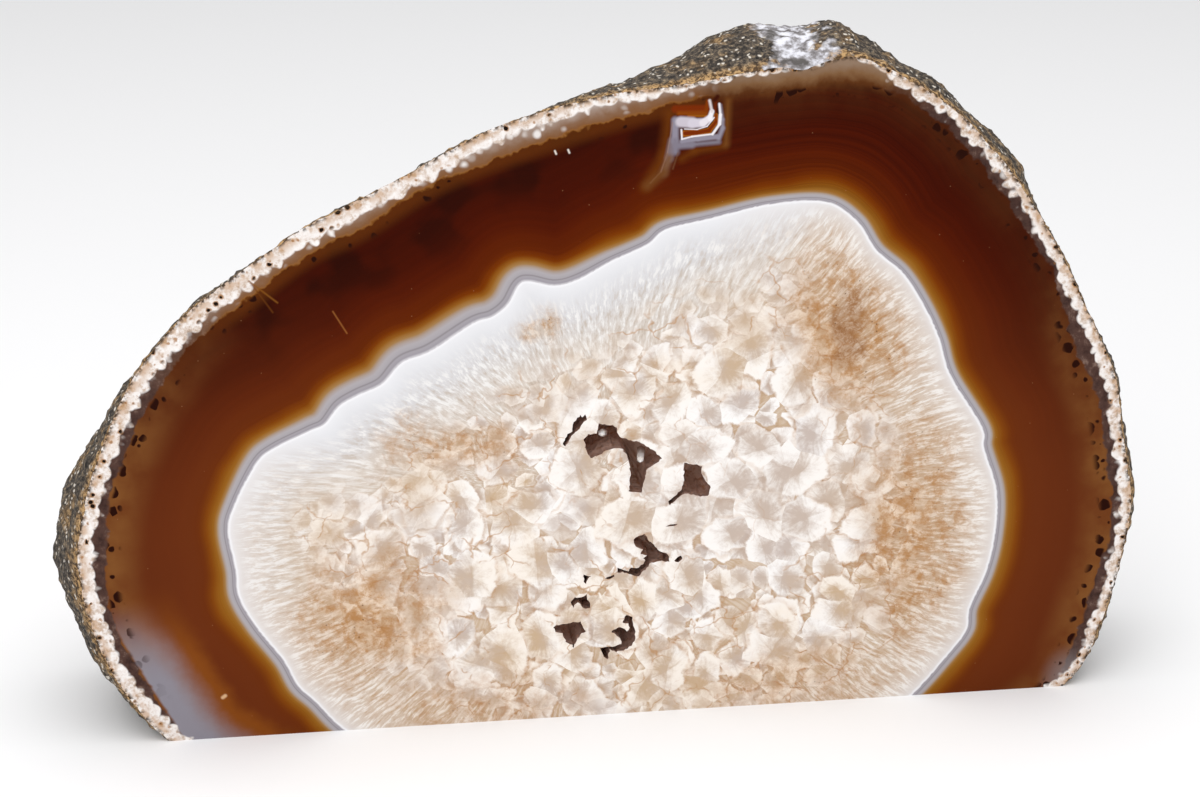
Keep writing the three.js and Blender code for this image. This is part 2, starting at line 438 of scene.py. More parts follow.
POCKETS: tuple[Pocket, ...] = (
    Pocket(
        ((-8.8, 50.4), (-8.4, 50), (-7.5, 51.5), (-6.9, 52.2), (-6, 53), (-5.3, 54.2), (-4.8, 54.5),
         (-5.1, 55.5), (-5.6, 55), (-5.9, 55.5), (-6.4, 55), (-7, 54.2), (-7.2, 52.6), (-8, 52.2)),
        4.0,
    ),
    Pocket(
        ((-2.8, 53.8), (-1.5, 53.4), (-0.5, 53.4), (0.2, 52.6), (0.2, 52), (1, 51), (2.5, 50.5), (4.2, 49.9),
         (5, 49.3), (6.3, 48.5), (7.7, 47), (6.4, 46), (5.3, 45.3), (4.9, 44), (4.3, 41), (2.1, 41.4),
         (2.3, 43), (2.4, 45), (2.2, 46.5), (1.9, 47.5), (1.2, 49), (0, 49.2), (-1.2, 49), (-2.7, 48.2),
         (-4.2, 47.7), (-4.8, 48.8), (-5.4, 51), (-4.6, 52), (-3.2, 52)),
        # Its two quartz points stand where glints show; their near-white finish is a painted highlight.
        11.0, ((-1.8, 51.0), (4.5, 46.8)),
    ),
    Pocket(
        ((11.4, 46), (13.2, 45.6), (14.4, 45.2), (14.3, 44), (14.8, 43), (15.4, 42), (15.9, 41.3),
         (15.4, 39.8), (14.2, 39.7), (13, 40.2), (11.5, 40.4), (10.3, 39.6), (9.1, 38.4), (8.8, 39.2),
         (10.2, 40.3), (10.9, 41), (11.3, 42.5), (11.4, 44)),
        9.0,
    ),
    Pocket(
        ((4.1, 33.2), (4.8, 33.5), (5.4, 32.4), (6.5, 31.4), (7.1, 30.4), (8.2, 29.8), (9, 29), (9.1, 28.1),
         (7.4, 28.3), (6, 28.1), (5.2, 27.2), (4.2, 26), (3.6, 25.7), (2.3, 26.2), (1.2, 26.7), (0.3, 26.6),
         (0.3, 27.5), (1, 27.2), (2.2, 26.7), (2.6, 27.4), (3.9, 27.3), (4.7, 27.9), (5, 28.5), (4.6, 29),
         (5.3, 29.5), (4.2, 29.8), (4.6, 30.6), (3.4, 31.2), (3, 32.5)),
        8.0,
    ),
    Pocket(((-5.4, 26.6), (-4.1, 26.2), (-4.8, 25.5), (-5, 24.8), (-5.4, 25.2)), 3.0),
    Pocket(
        ((-7.6, 21.6), (-6.9, 22.5), (-5.8, 22.4), (-4.9, 22.9), (-4.8, 21.9), (-4.3, 20.9), (-4.3, 20.3),
         (-5.1, 20.2), (-6.4, 21.5), (-7, 21), (-7.1, 20.5)),
        5.0,
    ),
    Pocket(
        ((-10.6, 17), (-10.1, 17.5), (-8, 17.7), (-5.9, 17.9), (-5.5, 16.7), (-5, 16), (-6, 15.4),
         (-6.6, 14.3), (-7.1, 13), (-7.3, 13.6), (-8.5, 14.2), (-9, 15.9), (-9.9, 16.1)),
        7.0,
    ),
    Pocket(
        ((1.5, 17.9), (1.8, 18.6), (2.9, 18.2), (3, 16.9), (3.3, 15.8), (3.4, 14.1), (2.8, 12.8), (2, 12.2),
         (0.1, 11.7), (-1, 12.4), (-1.3, 10.5), (-2, 11), (-2.6, 12.7), (0, 12.9), (1, 13.2), (0.8, 14.3),
         (0.2, 14.8), (-0.7, 15.5), (-0.3, 16), (0.8, 16.4), (1.2, 16.2), (1.9, 15.5), (2.4, 16.2),
         (2.2, 17), (1.2, 17.2)),
        8.0,
    ),
    Pocket(((8.4, 34.6), (9.2, 34.95), (10.4, 34.95), (10.2, 34.7), (9.4, 34.6)), 1.5, ragged=0.05),
    Pocket(((9.9, 28.2), (10.5, 28.9), (11.0, 29.1), (11.3, 28.5), (10.6, 27.9)), 2.5, ragged=0.1),
    Pocket(((-1.8, 25.6), (-1.0, 26.0), (-0.3, 26.3), (-0.2, 25.9), (-1.0, 25.5)), 2.0, ragged=0.06),
)


class Sheet:
    """A shader node tree that is being laid out."""

    def __init__(self, tree: bpy.types.NodeTree) -> None:
        """Take the tree to work on."""
        self.tree = tree

    def node(self, kind: str, **settings: object) -> bpy.types.Node:
        """Add a node and set its options."""
        made = self.tree.nodes.new(kind)
        for name, value in settings.items():
            setattr(made, name, value)
        return made

    def feed(self, socket: Socket, value: Value) -> None:
        """Link a socket to another, or set its value."""
        if isinstance(value, Socket):
            self.tree.links.new(value, socket)
        else:
            socket.default_value = value

    def math(self, operation: str, *values: Value, clamp: bool = False) -> Socket:
        """Do arithmetic on numbers.

        Args:
            operation: Name of the operation.
            values: Its operands.
            clamp: Keep the result between 0 and 1.

        Returns:
            The result.
        """
        made = self.node("ShaderNodeMath", operation=operation, use_clamp=clamp)
        for socket, value in zip(made.inputs, values):
            self.feed(socket, value)
        return made.outputs[0]

    def vector(self, operation: str, *values: Value) -> Socket:
        """Do arithmetic on vectors.

        Args:
            operation: Name of the operation.
            values: Its operands; the number of SCALE comes second.

        Returns:
            The vector, or the number for LENGTH, DISTANCE and DOT_PRODUCT.
        """
        made = self.node("ShaderNodeVectorMath", operation=operation)
        sockets = [made.inputs[0], made.inputs[3]] if operation == "SCALE" else made.inputs
        for socket, value in zip(sockets, values):
            self.feed(socket, value)
        number = operation in {"LENGTH", "DISTANCE", "DOT_PRODUCT"}
        return made.outputs[1] if number else made.outputs[0]

    def ease(self, value: Value, start: float, end: float, low: float = 0.0, high: float = 1.0) -> Socket:
        """Step smoothly from one number to another.

        Args:
            value: What drives the step.
            start: Where the step starts.
            end: Where it ends.
            low: Result before the start.
            high: Result after the end.

        Returns:
            The eased number.
        """
        made = self.node("ShaderNodeMapRange", interpolation_type="SMOOTHSTEP", clamp=True)
        turned = start > end
        ends = (end, start, high, low) if turned else (start, end, low, high)
        for socket, number in zip(made.inputs, (value, *ends)):
            self.feed(socket, number)
        return made.outputs[0]

    def blend(self, factor: Value, first: Value, second: Value, mode: str = "MIX") -> Socket:
        """Mix two colours.

        Args:
            factor: Share of the second colour.
            first: First colour.
            second: Second colour.
            mode: How they mix.

        Returns:
            The mixed colour.
        """
        made = self.node("ShaderNodeMix", data_type="RGBA", blend_type=mode, clamp_factor=True)
        self.feed(made.inputs[0], factor)
        self.feed(made.inputs[6], first)
        self.feed(made.inputs[7], second)
        return made.outputs[2]

    def ramp(self, value: Value, *stops: tuple[float, Tone]) -> Socket:
        """Turn a number into a colour.

        Args:
            value: The number from 0 to 1.
            stops: Places and colours along the way.

        Returns:
            The colour.
        """
        made = self.node("ShaderNodeValToRGB")
        elements = made.color_ramp.elements
        while len(elements) < len(stops):
            elements.new(0.5)
        for element, (place, tone) in zip(elements, stops):
            element.position = place
            element.color = linear(tone)
        self.feed(made.inputs[0], value)
        return made.outputs[0]

    def noise(self, place: Value, scale: float, detail: float = 2.0, rough: float = 0.5) -> Socket:
        """Add soft noise.

        Args:
            place: Where it is read.
            scale: Features to the millimetre.
            detail: Finer layers.
            rough: Strength of the finer layers.

        Returns:
            A number round one half.
        """
        made = self.node("ShaderNodeTexNoise", noise_dimensions="3D")
        self.feed(made.inputs["Vector"], place)
        made.inputs["Scale"].default_value = scale
        made.inputs["Detail"].default_value = detail
        made.inputs["Roughness"].default_value = rough
        return made.outputs[0]

    def times(self, first: Value, second: Value) -> Socket:
        """Multiply two values."""
        return self.math("MULTIPLY", first, second)

    def drift(self, place: Value, scale: float, amount: float) -> Socket:
        """Shift places about by noise.

        Args:
            place: Where the noise is read.
            scale: Features to the millimetre.
            amount: Largest shift.

        Returns:
            The shifted places.
        """
        made = self.node("ShaderNodeTexNoise", noise_dimensions="3D")
        self.feed(made.inputs["Vector"], place)
        made.inputs["Scale"].default_value = scale
        made.inputs["Detail"].default_value = 1.0
        offset = self.vector("SUBTRACT", made.outputs[1], (0.5, 0.5, 0.5))
        return self.vector("ADD", place, self.vector("SCALE", offset, 2.0 * amount))

    def cells(self, place: Value, scale: Value, dimensions: str = "3D") -> bpy.types.Node:
        """Add a cell pattern.

        Args:
            place: Where it is read.
            scale: Cells to the millimetre.
            dimensions: Whether the cells are flat or solid.

        Returns:
            The node, with a distance first and a colour for each cell second.
        """
        made = self.node("ShaderNodeTexVoronoi", voronoi_dimensions=dimensions)
        self.feed(made.inputs["Vector"], place)
        self.feed(made.inputs["Scale"], scale)
        return made

    def join(self, *parts: Value) -> Socket:
        """Join numbers into a vector."""
        made = self.node("ShaderNodeCombineXYZ")
        for socket, part in zip(made.inputs, parts):
            self.feed(socket, part)
        return made.outputs[0]

    def number(self, name: str) -> Socket:
        """Read a number that the mesh carries."""
        return self.node("ShaderNodeAttribute", attribute_name=name).outputs[2]

    def arrow(self, name: str) -> Socket:
        """Read a vector that the mesh carries."""
        return self.node("ShaderNodeAttribute", attribute_name=name).outputs[1]

    def place(self) -> Socket:
        """Read the place on the stone in millimetres of the measured face."""
        spot = self.node("ShaderNodeTexCoord").outputs["Object"]
        scaled = self.vector("SCALE", spot, 1.0 / MM)
        return self.vector("SUBTRACT", scaled, (CENTRE_SHIFT, 0.0, 0.0))

    def axes(self, place: Value) -> tuple[Socket, ...]:
        """Split a place into X, Y and Z."""
        made = self.node("ShaderNodeSeparateXYZ")
        self.feed(made.inputs[0], place)
        return tuple(made.outputs)

    def patch(self, place: Value, centre: Point, radii: Point, soft: float = 0.2) -> Socket:
        """Mask a soft oval of the face.

        Args:
            place: Where it is read.
            centre: Middle of the oval.
            radii: Half its width and height.
            soft: Share of the radius that is full.

        Returns:
            The mask.
        """
        away = self.vector("SUBTRACT", place, (centre[0], 0.0, centre[1]))
        away = self.vector("MULTIPLY", away, (1.0 / radii[0], 0.0, 1.0 / radii[1]))
        return self.ease(self.vector("LENGTH", away), 1.0, soft)

    def use(self, tree: bpy.types.NodeTree, **values: Value) -> bpy.types.Node:
        """Place a shared effect.

        Args:
            tree: The effect.
            values: Its inputs, by name.

        Returns:
            The group node.
        """
        made = self.node("ShaderNodeGroup", node_tree=tree)
        for name, value in values.items():
            self.feed(made.inputs[name], value)
        return made


class Effect:
    """A shared shader effect, built once."""

    name = "effect"
    takes: dict[str, str] = {}
    gives: dict[str, str] = {}

    def tree(self) -> bpy.types.NodeTree:
        """Build the effect's node group, or give the one that is there.

        Returns:
            The node group.
        """
        if self.name in bpy.data.node_groups:
            return bpy.data.node_groups[self.name]
        tree = bpy.data.node_groups.new(self.name, "ShaderNodeTree")
        for name, kind in self.takes.items():
            tree.interface.new_socket(name=name, in_out="INPUT", socket_type=f"NodeSocket{kind}")
        for name, kind in self.gives.items():
            tree.interface.new_socket(name=name, in_out="OUTPUT", socket_type=f"NodeSocket{kind}")
        sheet = Sheet(tree)
        came = sheet.node("NodeGroupInput").outputs
        went = sheet.node("NodeGroupOutput").inputs
        for name, value in self.draw(sheet, {name: came[name] for name in self.takes}).items():
            sheet.feed(went[name], value)
        return tree

    def draw(self, sheet: Sheet, came: Inputs) -> dict[str, Value]:
        """Lay the effect's nodes out.

        Args:
            sheet: Tree to draw on.
            came: The inputs.

        Returns:
            The outputs.
        """
        raise NotImplementedError


class StrokeEffect(Effect):
    """A straight mark between two points of the face."""

    name = "stroke"
    takes = {
        "Place": "Vector", "Start": "Vector", "End": "Vector", "Width": "Float", "Soft": "Float",
        "After": "Float",
    }
    trace = 1e-6
    gives = {"Mask": "Float"}

    def draw(self, sheet: Sheet, came: Inputs) -> dict[str, Value]:
        """Measure the distance to the mark and step there, after the mark before it is done."""
        waited = sheet.vector("ADD", came["Place"], sheet.times(came["After"], self.trace))
        flat = sheet.vector("MULTIPLY", waited, (1.0, 0.0, 1.0))
        arm = sheet.vector("SUBTRACT", flat, came["Start"])
        span = sheet.vector("SUBTRACT", came["End"], came["Start"])
        along = sheet.math(
            "DIVIDE",
            sheet.vector("DOT_PRODUCT", arm, span),
            sheet.vector("DOT_PRODUCT", span, span),
            clamp=True,
        )
        near = sheet.vector("SCALE", span, along)
        gap = sheet.vector("DISTANCE", arm, near)
        over = sheet.math("DIVIDE", sheet.math("SUBTRACT", gap, came["Width"]), came["Soft"])
        return {"Mask": sheet.ease(over, 1.0, -1.0)}


class LayerEffect(Effect):
    """Colours of the agate from the quartz wall out to the rind."""

    name = "agate layers"
    takes = {
        "Place": "Vector", "Wall": "Float", "Grey": "Float", "Skin": "Float", "Rim": "Float",
        "White": "Float", "Mist": "Float", "Tan": "Float",
    }
    gives = {"Color": "Color", "Pits": "Float"}

    def draw(self, sheet: Sheet, came: Inputs) -> dict[str, Value]:
        """Lay the layers over each other from the inside out."""
        color = self._brown(sheet, came)
        color = self._grey(sheet, came, color)
        color = self._edge(sheet, came, color)
        color = self._clear(sheet, came, color)
        color = self._haze(sheet, came, color)
        color = self._blots(sheet, came, color)
        return self._skin(sheet, came, color)

    @staticmethod
    def _brown(sheet: Sheet, came: Inputs) -> Socket:
        """Colour the brown agate and its fine growth bands.

        Args:
            sheet: Tree to draw on.
            came: The inputs.

        Returns:
            The colour.
        """
        place, wall = came["Place"], came["Wall"]
        up = sheet.axes(place)[2]
        slow = sheet.math("SUBTRACT", sheet.noise(place, 0.06, 2.0), 0.5)
        width = sheet.math("DIVIDE", wall, sheet.math("MAXIMUM", came["Grey"], 0.05))
        beyond = sheet.math("MULTIPLY_ADD", width, -0.55, sheet.math("MULTIPLY_ADD", slow, 3.0, wall))
        body = sheet.ramp(
            sheet.math("DIVIDE", beyond, 20.0),
            (0.02, (160, 114, 50)), (0.06, (150, 97, 28)), (0.13, (131, 69, 11)), (0.2, (106, 45, 5)),
            (0.4, (90, 30, 2)), (0.6, (75, 21, 1)), (1.0, (62, 15, 1)),
        )
        lines = sheet.node("ShaderNodeTexNoise", noise_dimensions="1D")
        sheet.feed(lines.inputs["W"], sheet.math("MULTIPLY_ADD", slow, 2.0, wall))
        lines.inputs["Scale"].default_value = 0.7
        lines.inputs["Detail"].default_value = 4.0
        lines.inputs["Roughness"].default_value = 0.7
        shade = sheet.ease(lines.outputs[0], 0.3, 0.7)
        banded = sheet.patch(place, (34.0, 99.0), (34.0, 22.0))
        strength = sheet.math("MULTIPLY_ADD", banded, 0.32, 0.18)
        darker = sheet.blend(1.0, body, linear((160, 132, 110)), "MULTIPLY")
        body = sheet.blend(sheet.times(shade, strength), body, darker)
        deep = sheet.times(sheet.ease(up, 44.0, 80.0), sheet.ease(beyond, 0.5, 3.0))
        body = sheet.blend(deep, body, linear((236, 206, 120)), "MULTIPLY")
        haze = sheet.ease(up, 86.0, 32.0, 0.0, 0.72)
        haze = sheet.times(haze, sheet.ease(beyond, 1.5, 6.0))
        return sheet.blend(haze, body, linear((106, 49, 20)))

    @staticmethod
    def _grey(sheet: Sheet, came: Inputs, color: Socket) -> Socket:
        """Lay the grey band over the brown.

        Args:
            sheet: Tree to draw on.
            came: The inputs.
            color: Colour so far.

        Returns:
            The colour.
        """
        band = sheet.ramp(
            sheet.math("DIVIDE", came["Grey"], 2.0),
            (0.0, (228, 226, 229)), (0.03, (200, 196, 201)), (0.07, (158, 153, 160)), (0.14, (165, 160, 166)),
            (0.175, (142, 136, 140)), (0.21, (168, 163, 168)), (0.31, (174, 168, 172)),
            (0.4, (168, 152, 142)),
            (0.48, (160, 122, 74)), (0.6, (150, 98, 34)),
        )
        return sheet.blend(sheet.ease(came["Grey"], 1.5, 0.95), color, band)

    @staticmethod
    def _edge(sheet: Sheet, came: Inputs, color: Socket) -> Socket:
        """Lighten and mottle the brown near its outer edge.

        Args:
            sheet: Tree to draw on.
            came: The inputs.
            color: Colour so far.

        Returns:
            The colour.
        """
        place, mist = came["Place"], came["Mist"]
        inside = sheet.times(came["Skin"], -1.0)
        clear = sheet.math("SUBTRACT", 1.0, mist)
        pale = sheet.times(sheet.ease(inside, 7.0, 0.2), sheet.ease(clear, 0.0, 1.0, 0.0, 0.6))
        pale = sheet.times(pale, sheet.ease(sheet.noise(place, 0.16, 3.0), 0.3, 0.65, 0.35, 1.0))
        pale = sheet.times(pale, sheet.ease(sheet.axes(place)[2], 82.0, 45.0, 0.15, 1.0))
        color = sheet.blend(pale, color, linear((140, 94, 48)))
        mottle = sheet.ease(sheet.noise(place, 0.13, 1.5, 0.45), 0.44, 0.64)
        dark = sheet.times(sheet.ease(inside, 15.0, 4.0), sheet.times(mist, mottle))
        color = sheet.blend(sheet.times(dark, 0.6), color, linear((30, 5, 1)))
        glow = sheet.times(sheet.ease(inside, 2.6, 0.2), sheet.times(mist, 0.45))
        return sheet.blend(glow, color, linear((112, 58, 14)))

    @staticmethod
    def _clear(sheet: Sheet, came: Inputs, color: Socket) -> Socket:
        """Lay the dark, clouded or tan layer outside the brown.

        Args:
            sheet: Tree to draw on.
            came: The inputs.
            color: Colour so far.

        Returns:
            The colour.
        """
        place, skin, mist, tan = came["Place"], came["Skin"], came["Mist"], came["Tan"]
        fine = sheet.noise(place, 0.7, 3.0, 0.6)
        lobes = sheet.math("SUBTRACT", sheet.noise(place, 0.42, 2.0), 0.5)
        uneven = sheet.math("MULTIPLY_ADD", sheet.math("SUBTRACT", fine, 0.5), 1.0, skin)
        uneven = sheet.math("MULTIPLY_ADD", lobes, 2.0, sheet.math("SUBTRACT", uneven, 0.45))
        part = sheet.math("DIVIDE", uneven, 4.0)
        cloud = sheet.ramp(
            part,
            (0.0, (150, 98, 44)), (0.08, (128, 86, 54)), (0.3, (133, 99, 75)), (0.6, (157, 135, 121)),
            (1.0, (188, 176, 170)),
        )
        blob = sheet.cells(sheet.drift(place, 0.5, 0.4), 0.5)
        pick = sheet.ease(sheet.axes(blob.outputs[1])[0], 0.5, 0.6)
        blob_mask = sheet.times(sheet.ease(blob.outputs[0], 0.5, 0.2), sheet.ease(skin, 0.5, 1.5))
        cloud = sheet.blend(sheet.times(blob_mask, pick), cloud, linear((232, 226, 222)))
        dusk = sheet.ramp(fine, (0.3, (58, 40, 36)), (0.58, (84, 61, 54)), (0.75, (126, 103, 92)))
        cover = sheet.times(sheet.ease(uneven, -0.25, 0.25), sheet.math("SUBTRACT", 1.0, tan))
        color = sheet.blend(cover, color, sheet.blend(mist, dusk, cloud))
        honey = sheet.ramp(part, (0.0, (104, 62, 28)), (0.35, (126, 92, 62)), (0.8, (142, 118, 98)))
        return sheet.blend(sheet.times(tan, sheet.ease(uneven, -1.8, 1.6)), color, honey)

    @staticmethod
    def _haze(sheet: Sheet, came: Inputs, color: Socket) -> Socket:
        """Lay the blue-grey haze over the two lower corners.

        Args:
            sheet: Tree to draw on.
            came: The inputs.
            color: Colour so far.

        Returns:
            The colour.
        """
        place = came["Place"]
        across, _, up = sheet.axes(place)
        wisp = sheet.math("SUBTRACT", sheet.noise(place, 0.2, 3.0, 0.6), 0.5)
        inside = sheet.math("MULTIPLY_ADD", wisp, 3.0, sheet.times(came["Skin"], -1.0))
        fringe = sheet.times(
            sheet.ease(up, 30.0, 14.0, 0.0, 0.5), sheet.ease(across, -50.0, -60.0)
        )
        fringe = sheet.times(fringe, sheet.ease(inside, 12.0, 8.5))
        fringe = sheet.times(fringe, sheet.ease(came["Skin"], -1.0, -4.0))
        color = sheet.blend(fringe, color, linear((152, 86, 26)))
        corner = sheet.times(sheet.ease(up, 27.0, 11.0), sheet.ease(across, -54.0, -63.0))
        corner = sheet.times(corner, sheet.ease(inside, 8.5, 2.2))
        corner = sheet.times(corner, sheet.ease(came["Skin"], 0.6, 0.0))
        color = sheet.blend(sheet.times(corner, 0.95), color, linear((141, 138, 148)))
        foot = sheet.times(sheet.patch(place, (79.5, 1.0), (6.0, 8.0)), 0.6)
        return sheet.blend(foot, color, linear((140, 130, 130)))

    @staticmethod
    def _blots(sheet: Sheet, came: Inputs, color: Socket) -> Socket:
        """Put the dark blots along the brown's edge and a little dust on it.

        Args:
            sheet: Tree to draw on.
            came: The inputs.
            color: Colour so far.

        Returns:
            The colour.
        """
        place = came["Place"]
        inside = sheet.times(came["Skin"], -1.0)
        blots = sheet.cells(sheet.drift(place, 0.5, 0.7), 0.5)
        grain = sheet.axes(blots.outputs[1])[0]
        size = sheet.math("MULTIPLY_ADD", grain, 0.66, -0.06)
        size = sheet.math("MULTIPLY_ADD", came["Mist"], -0.18, size)
        spot = sheet.ease(sheet.math("SUBTRACT", blots.outputs[0], size), 0.04, -0.06)
        belt = sheet.times(sheet.ease(inside, -0.5, 0.1), sheet.ease(inside, 2.4, 1.0))
        hazy = sheet.patch(place, (-68.0, 6.0), (24.0, 26.0))
        belt = sheet.times(belt, sheet.math("SUBTRACT", 1.0, hazy))
        color = sheet.blend(sheet.times(spot, belt), color, linear((38, 11, 4)))
        dust = sheet.cells(place, 0.7)
        some = sheet.ease(sheet.axes(dust.outputs[1])[0], 0.88, 0.9)
        some = sheet.times(some, sheet.ease(dust.outputs[0], 0.09, 0.05, 0.0, 0.4))
        return sheet.blend(
            sheet.times(some, sheet.ease(inside, 0.5, 1.5)), color, linear((168, 120, 84))
        )

    @staticmethod
    def _skin(sheet: Sheet, came: Inputs, color: Socket) -> dict[str, Value]:
        """Lay the pitted white skin over the rest.

        Args:
            sheet: Tree to draw on.
            came: The inputs.
            color: Colour so far.

        Returns:
            The colour and the mask of the pits.
        """
        place, rim, base = came["Place"], came["Rim"], came["White"]
        fine = sheet.noise(place, 0.9, 4.0, 0.65)
        slow = sheet.noise(place, 0.22, 2.0)
        clumps = sheet.cells(sheet.drift(place, 0.6, 0.4), 0.55)
        width = sheet.math("MULTIPLY_ADD", clumps.outputs[0], -1.8, sheet.math("ADD", base, 0.45))
        width = sheet.math("MULTIPLY_ADD", slow, 1.4, sheet.math("SUBTRACT", width, 0.5))
        white = sheet.ease(sheet.math("SUBTRACT", rim, width), 0.25, -0.3)
        milk = sheet.ramp(
            fine, (0.3, (252, 249, 247)), (0.5, (240, 232, 227)), (0.6, (214, 197, 184)),
            (0.76, (168, 138, 110))
        )
        share = sheet.math("DIVIDE", rim, sheet.math("MAXIMUM", base, 0.6))
        gold = sheet.times(
            sheet.ease(share, 0.8, 0.2), sheet.ease(sheet.noise(place, 0.55, 3.0), 0.4, 0.58)
        )
        milk = sheet.blend(sheet.times(gold, 0.65), milk, linear((188, 142, 92)))
        color = sheet.blend(white, color, milk)
        pits = sheet.cells(sheet.drift(place, 1.2, 0.25), 0.8)
        kind, other, _ = sheet.axes(pits.outputs[1])
        crowd = sheet.math("MULTIPLY_ADD", slow, 0.5, kind)
        belt = sheet.times(sheet.ease(share, 0.95, 0.6), sheet.ease(crowd, 0.72, 0.78))
        radius = sheet.math("MULTIPLY_ADD", other, 0.24, 0.04)
        gap = sheet.math("SUBTRACT", pits.outputs[0], radius)
        ring = sheet.times(belt, sheet.ease(gap, 0.22, 0.06))
        color = sheet.blend(sheet.times(ring, 0.8), color, linear((168, 116, 62)))
        # Painted shade: the pits' centres are near-black for the shade in the small holes.
        hole = sheet.times(belt, sheet.ease(gap, 0.05, -0.04))
        color = sheet.blend(hole, color, linear((26, 16, 10)))
        grit = sheet.times(
            sheet.ease(rim, 0.9, 0.1), sheet.ease(sheet.noise(place, 1.5, 3.0), 0.42, 0.6)
        )
        color = sheet.blend(grit, color, linear((64, 48, 34)))
        return {"Color": color, "Pits": hole}


class ScaleEffect(Effect):
    """One layer of quartz crystals that lie over each other like scales."""

    name = "crystal scales"
    takes = {"Place": "Vector", "Size": "Float"}
    gives = {"Out": "Float", "Milk": "Float", "Kind": "Float"}
    sides = 6
    scatter = 0.85
    stretch = (1.2, 0.85, 0.0)
    least_radius, radius_spread = 0.42, 0.2
    # Shares of the distance from the middle, the painted facet light and shade, the feathers and the grain in
    # the milkiness.
    edge_share, facet_share, feather_share, grain_share = 0.7, 0.34, 0.9, 1.3
    edge_grain = 0.5

    def draw(self, sheet: Sheet, came: Inputs) -> dict[str, Value]:
        """Give each crystal straight sides, a dull middle, a feathered milky edge and painted light and shade
        on its facets.
        """
        place = came["Place"]
        small = sheet.math("DIVIDE", 1.0, came["Size"])
        cell = sheet.cells(place, small, "2D")
        cell.inputs["Randomness"].default_value = self.scatter
        one, two, three = sheet.axes(cell.outputs[1])
        arm = sheet.vector("SCALE", sheet.vector("SUBTRACT", place, cell.outputs["Position"]), small)
        spin = sheet.node("ShaderNodeVectorRotate", rotation_type="Z_AXIS")
        sheet.feed(spin.inputs["Vector"], arm)
        sheet.feed(spin.inputs["Angle"], sheet.times(one, FULL_TURN))
        arm = sheet.vector("MULTIPLY", spin.outputs[0], self.stretch)
        side, rise, _ = sheet.axes(arm)
        turn = sheet.math("ARCTAN2", rise, side)
        step = FULL_TURN / self.sides
        facet = sheet.math("SNAP", sheet.math("ADD", turn, step / 2.0), step)
        local = sheet.math("SUBTRACT", turn, facet)
        reach = sheet.times(sheet.vector("LENGTH", arm), sheet.math("COSINE", local))
        radius = sheet.math("MULTIPLY_ADD", two, self.radius_spread, self.least_radius)
        out = sheet.math("DIVIDE", reach, radius)
        fine = sheet.math("SUBTRACT", sheet.noise(place, 0.7, 6.0, 0.68), 0.5)
        ray = sheet.join(
            sheet.times(turn, 6.0), sheet.times(three, 40.0),
            sheet.times(out, 1.2)
        )
        feather = sheet.math("SUBTRACT", sheet.noise(ray, 1.0, 4.0, 0.7), 0.5)
        feather = sheet.times(feather, sheet.ease(out, 0.2, 0.8, 0.3, 1.0))
        # Painted light and shade: each facet is lighter or darker by its direction, turned at random for each
        # crystal.
        facing = sheet.math("MULTIPLY_ADD", local, 0.5, facet)
        tone = sheet.math("COSINE", sheet.math("MULTIPLY_ADD", three, FULL_TURN, facing))
        level = sheet.math("MULTIPLY_ADD", tone, self.facet_share, sheet.times(out, self.edge_share))
        level = sheet.math("MULTIPLY_ADD", feather, self.feather_share, level)
        level = sheet.math("MULTIPLY_ADD", fine, self.grain_share, level)
        ragged = sheet.math("MULTIPLY_ADD", fine, self.edge_grain, out)
        return {"Out": ragged, "Milk": sheet.ease(level, -0.1, 0.86), "Kind": three}


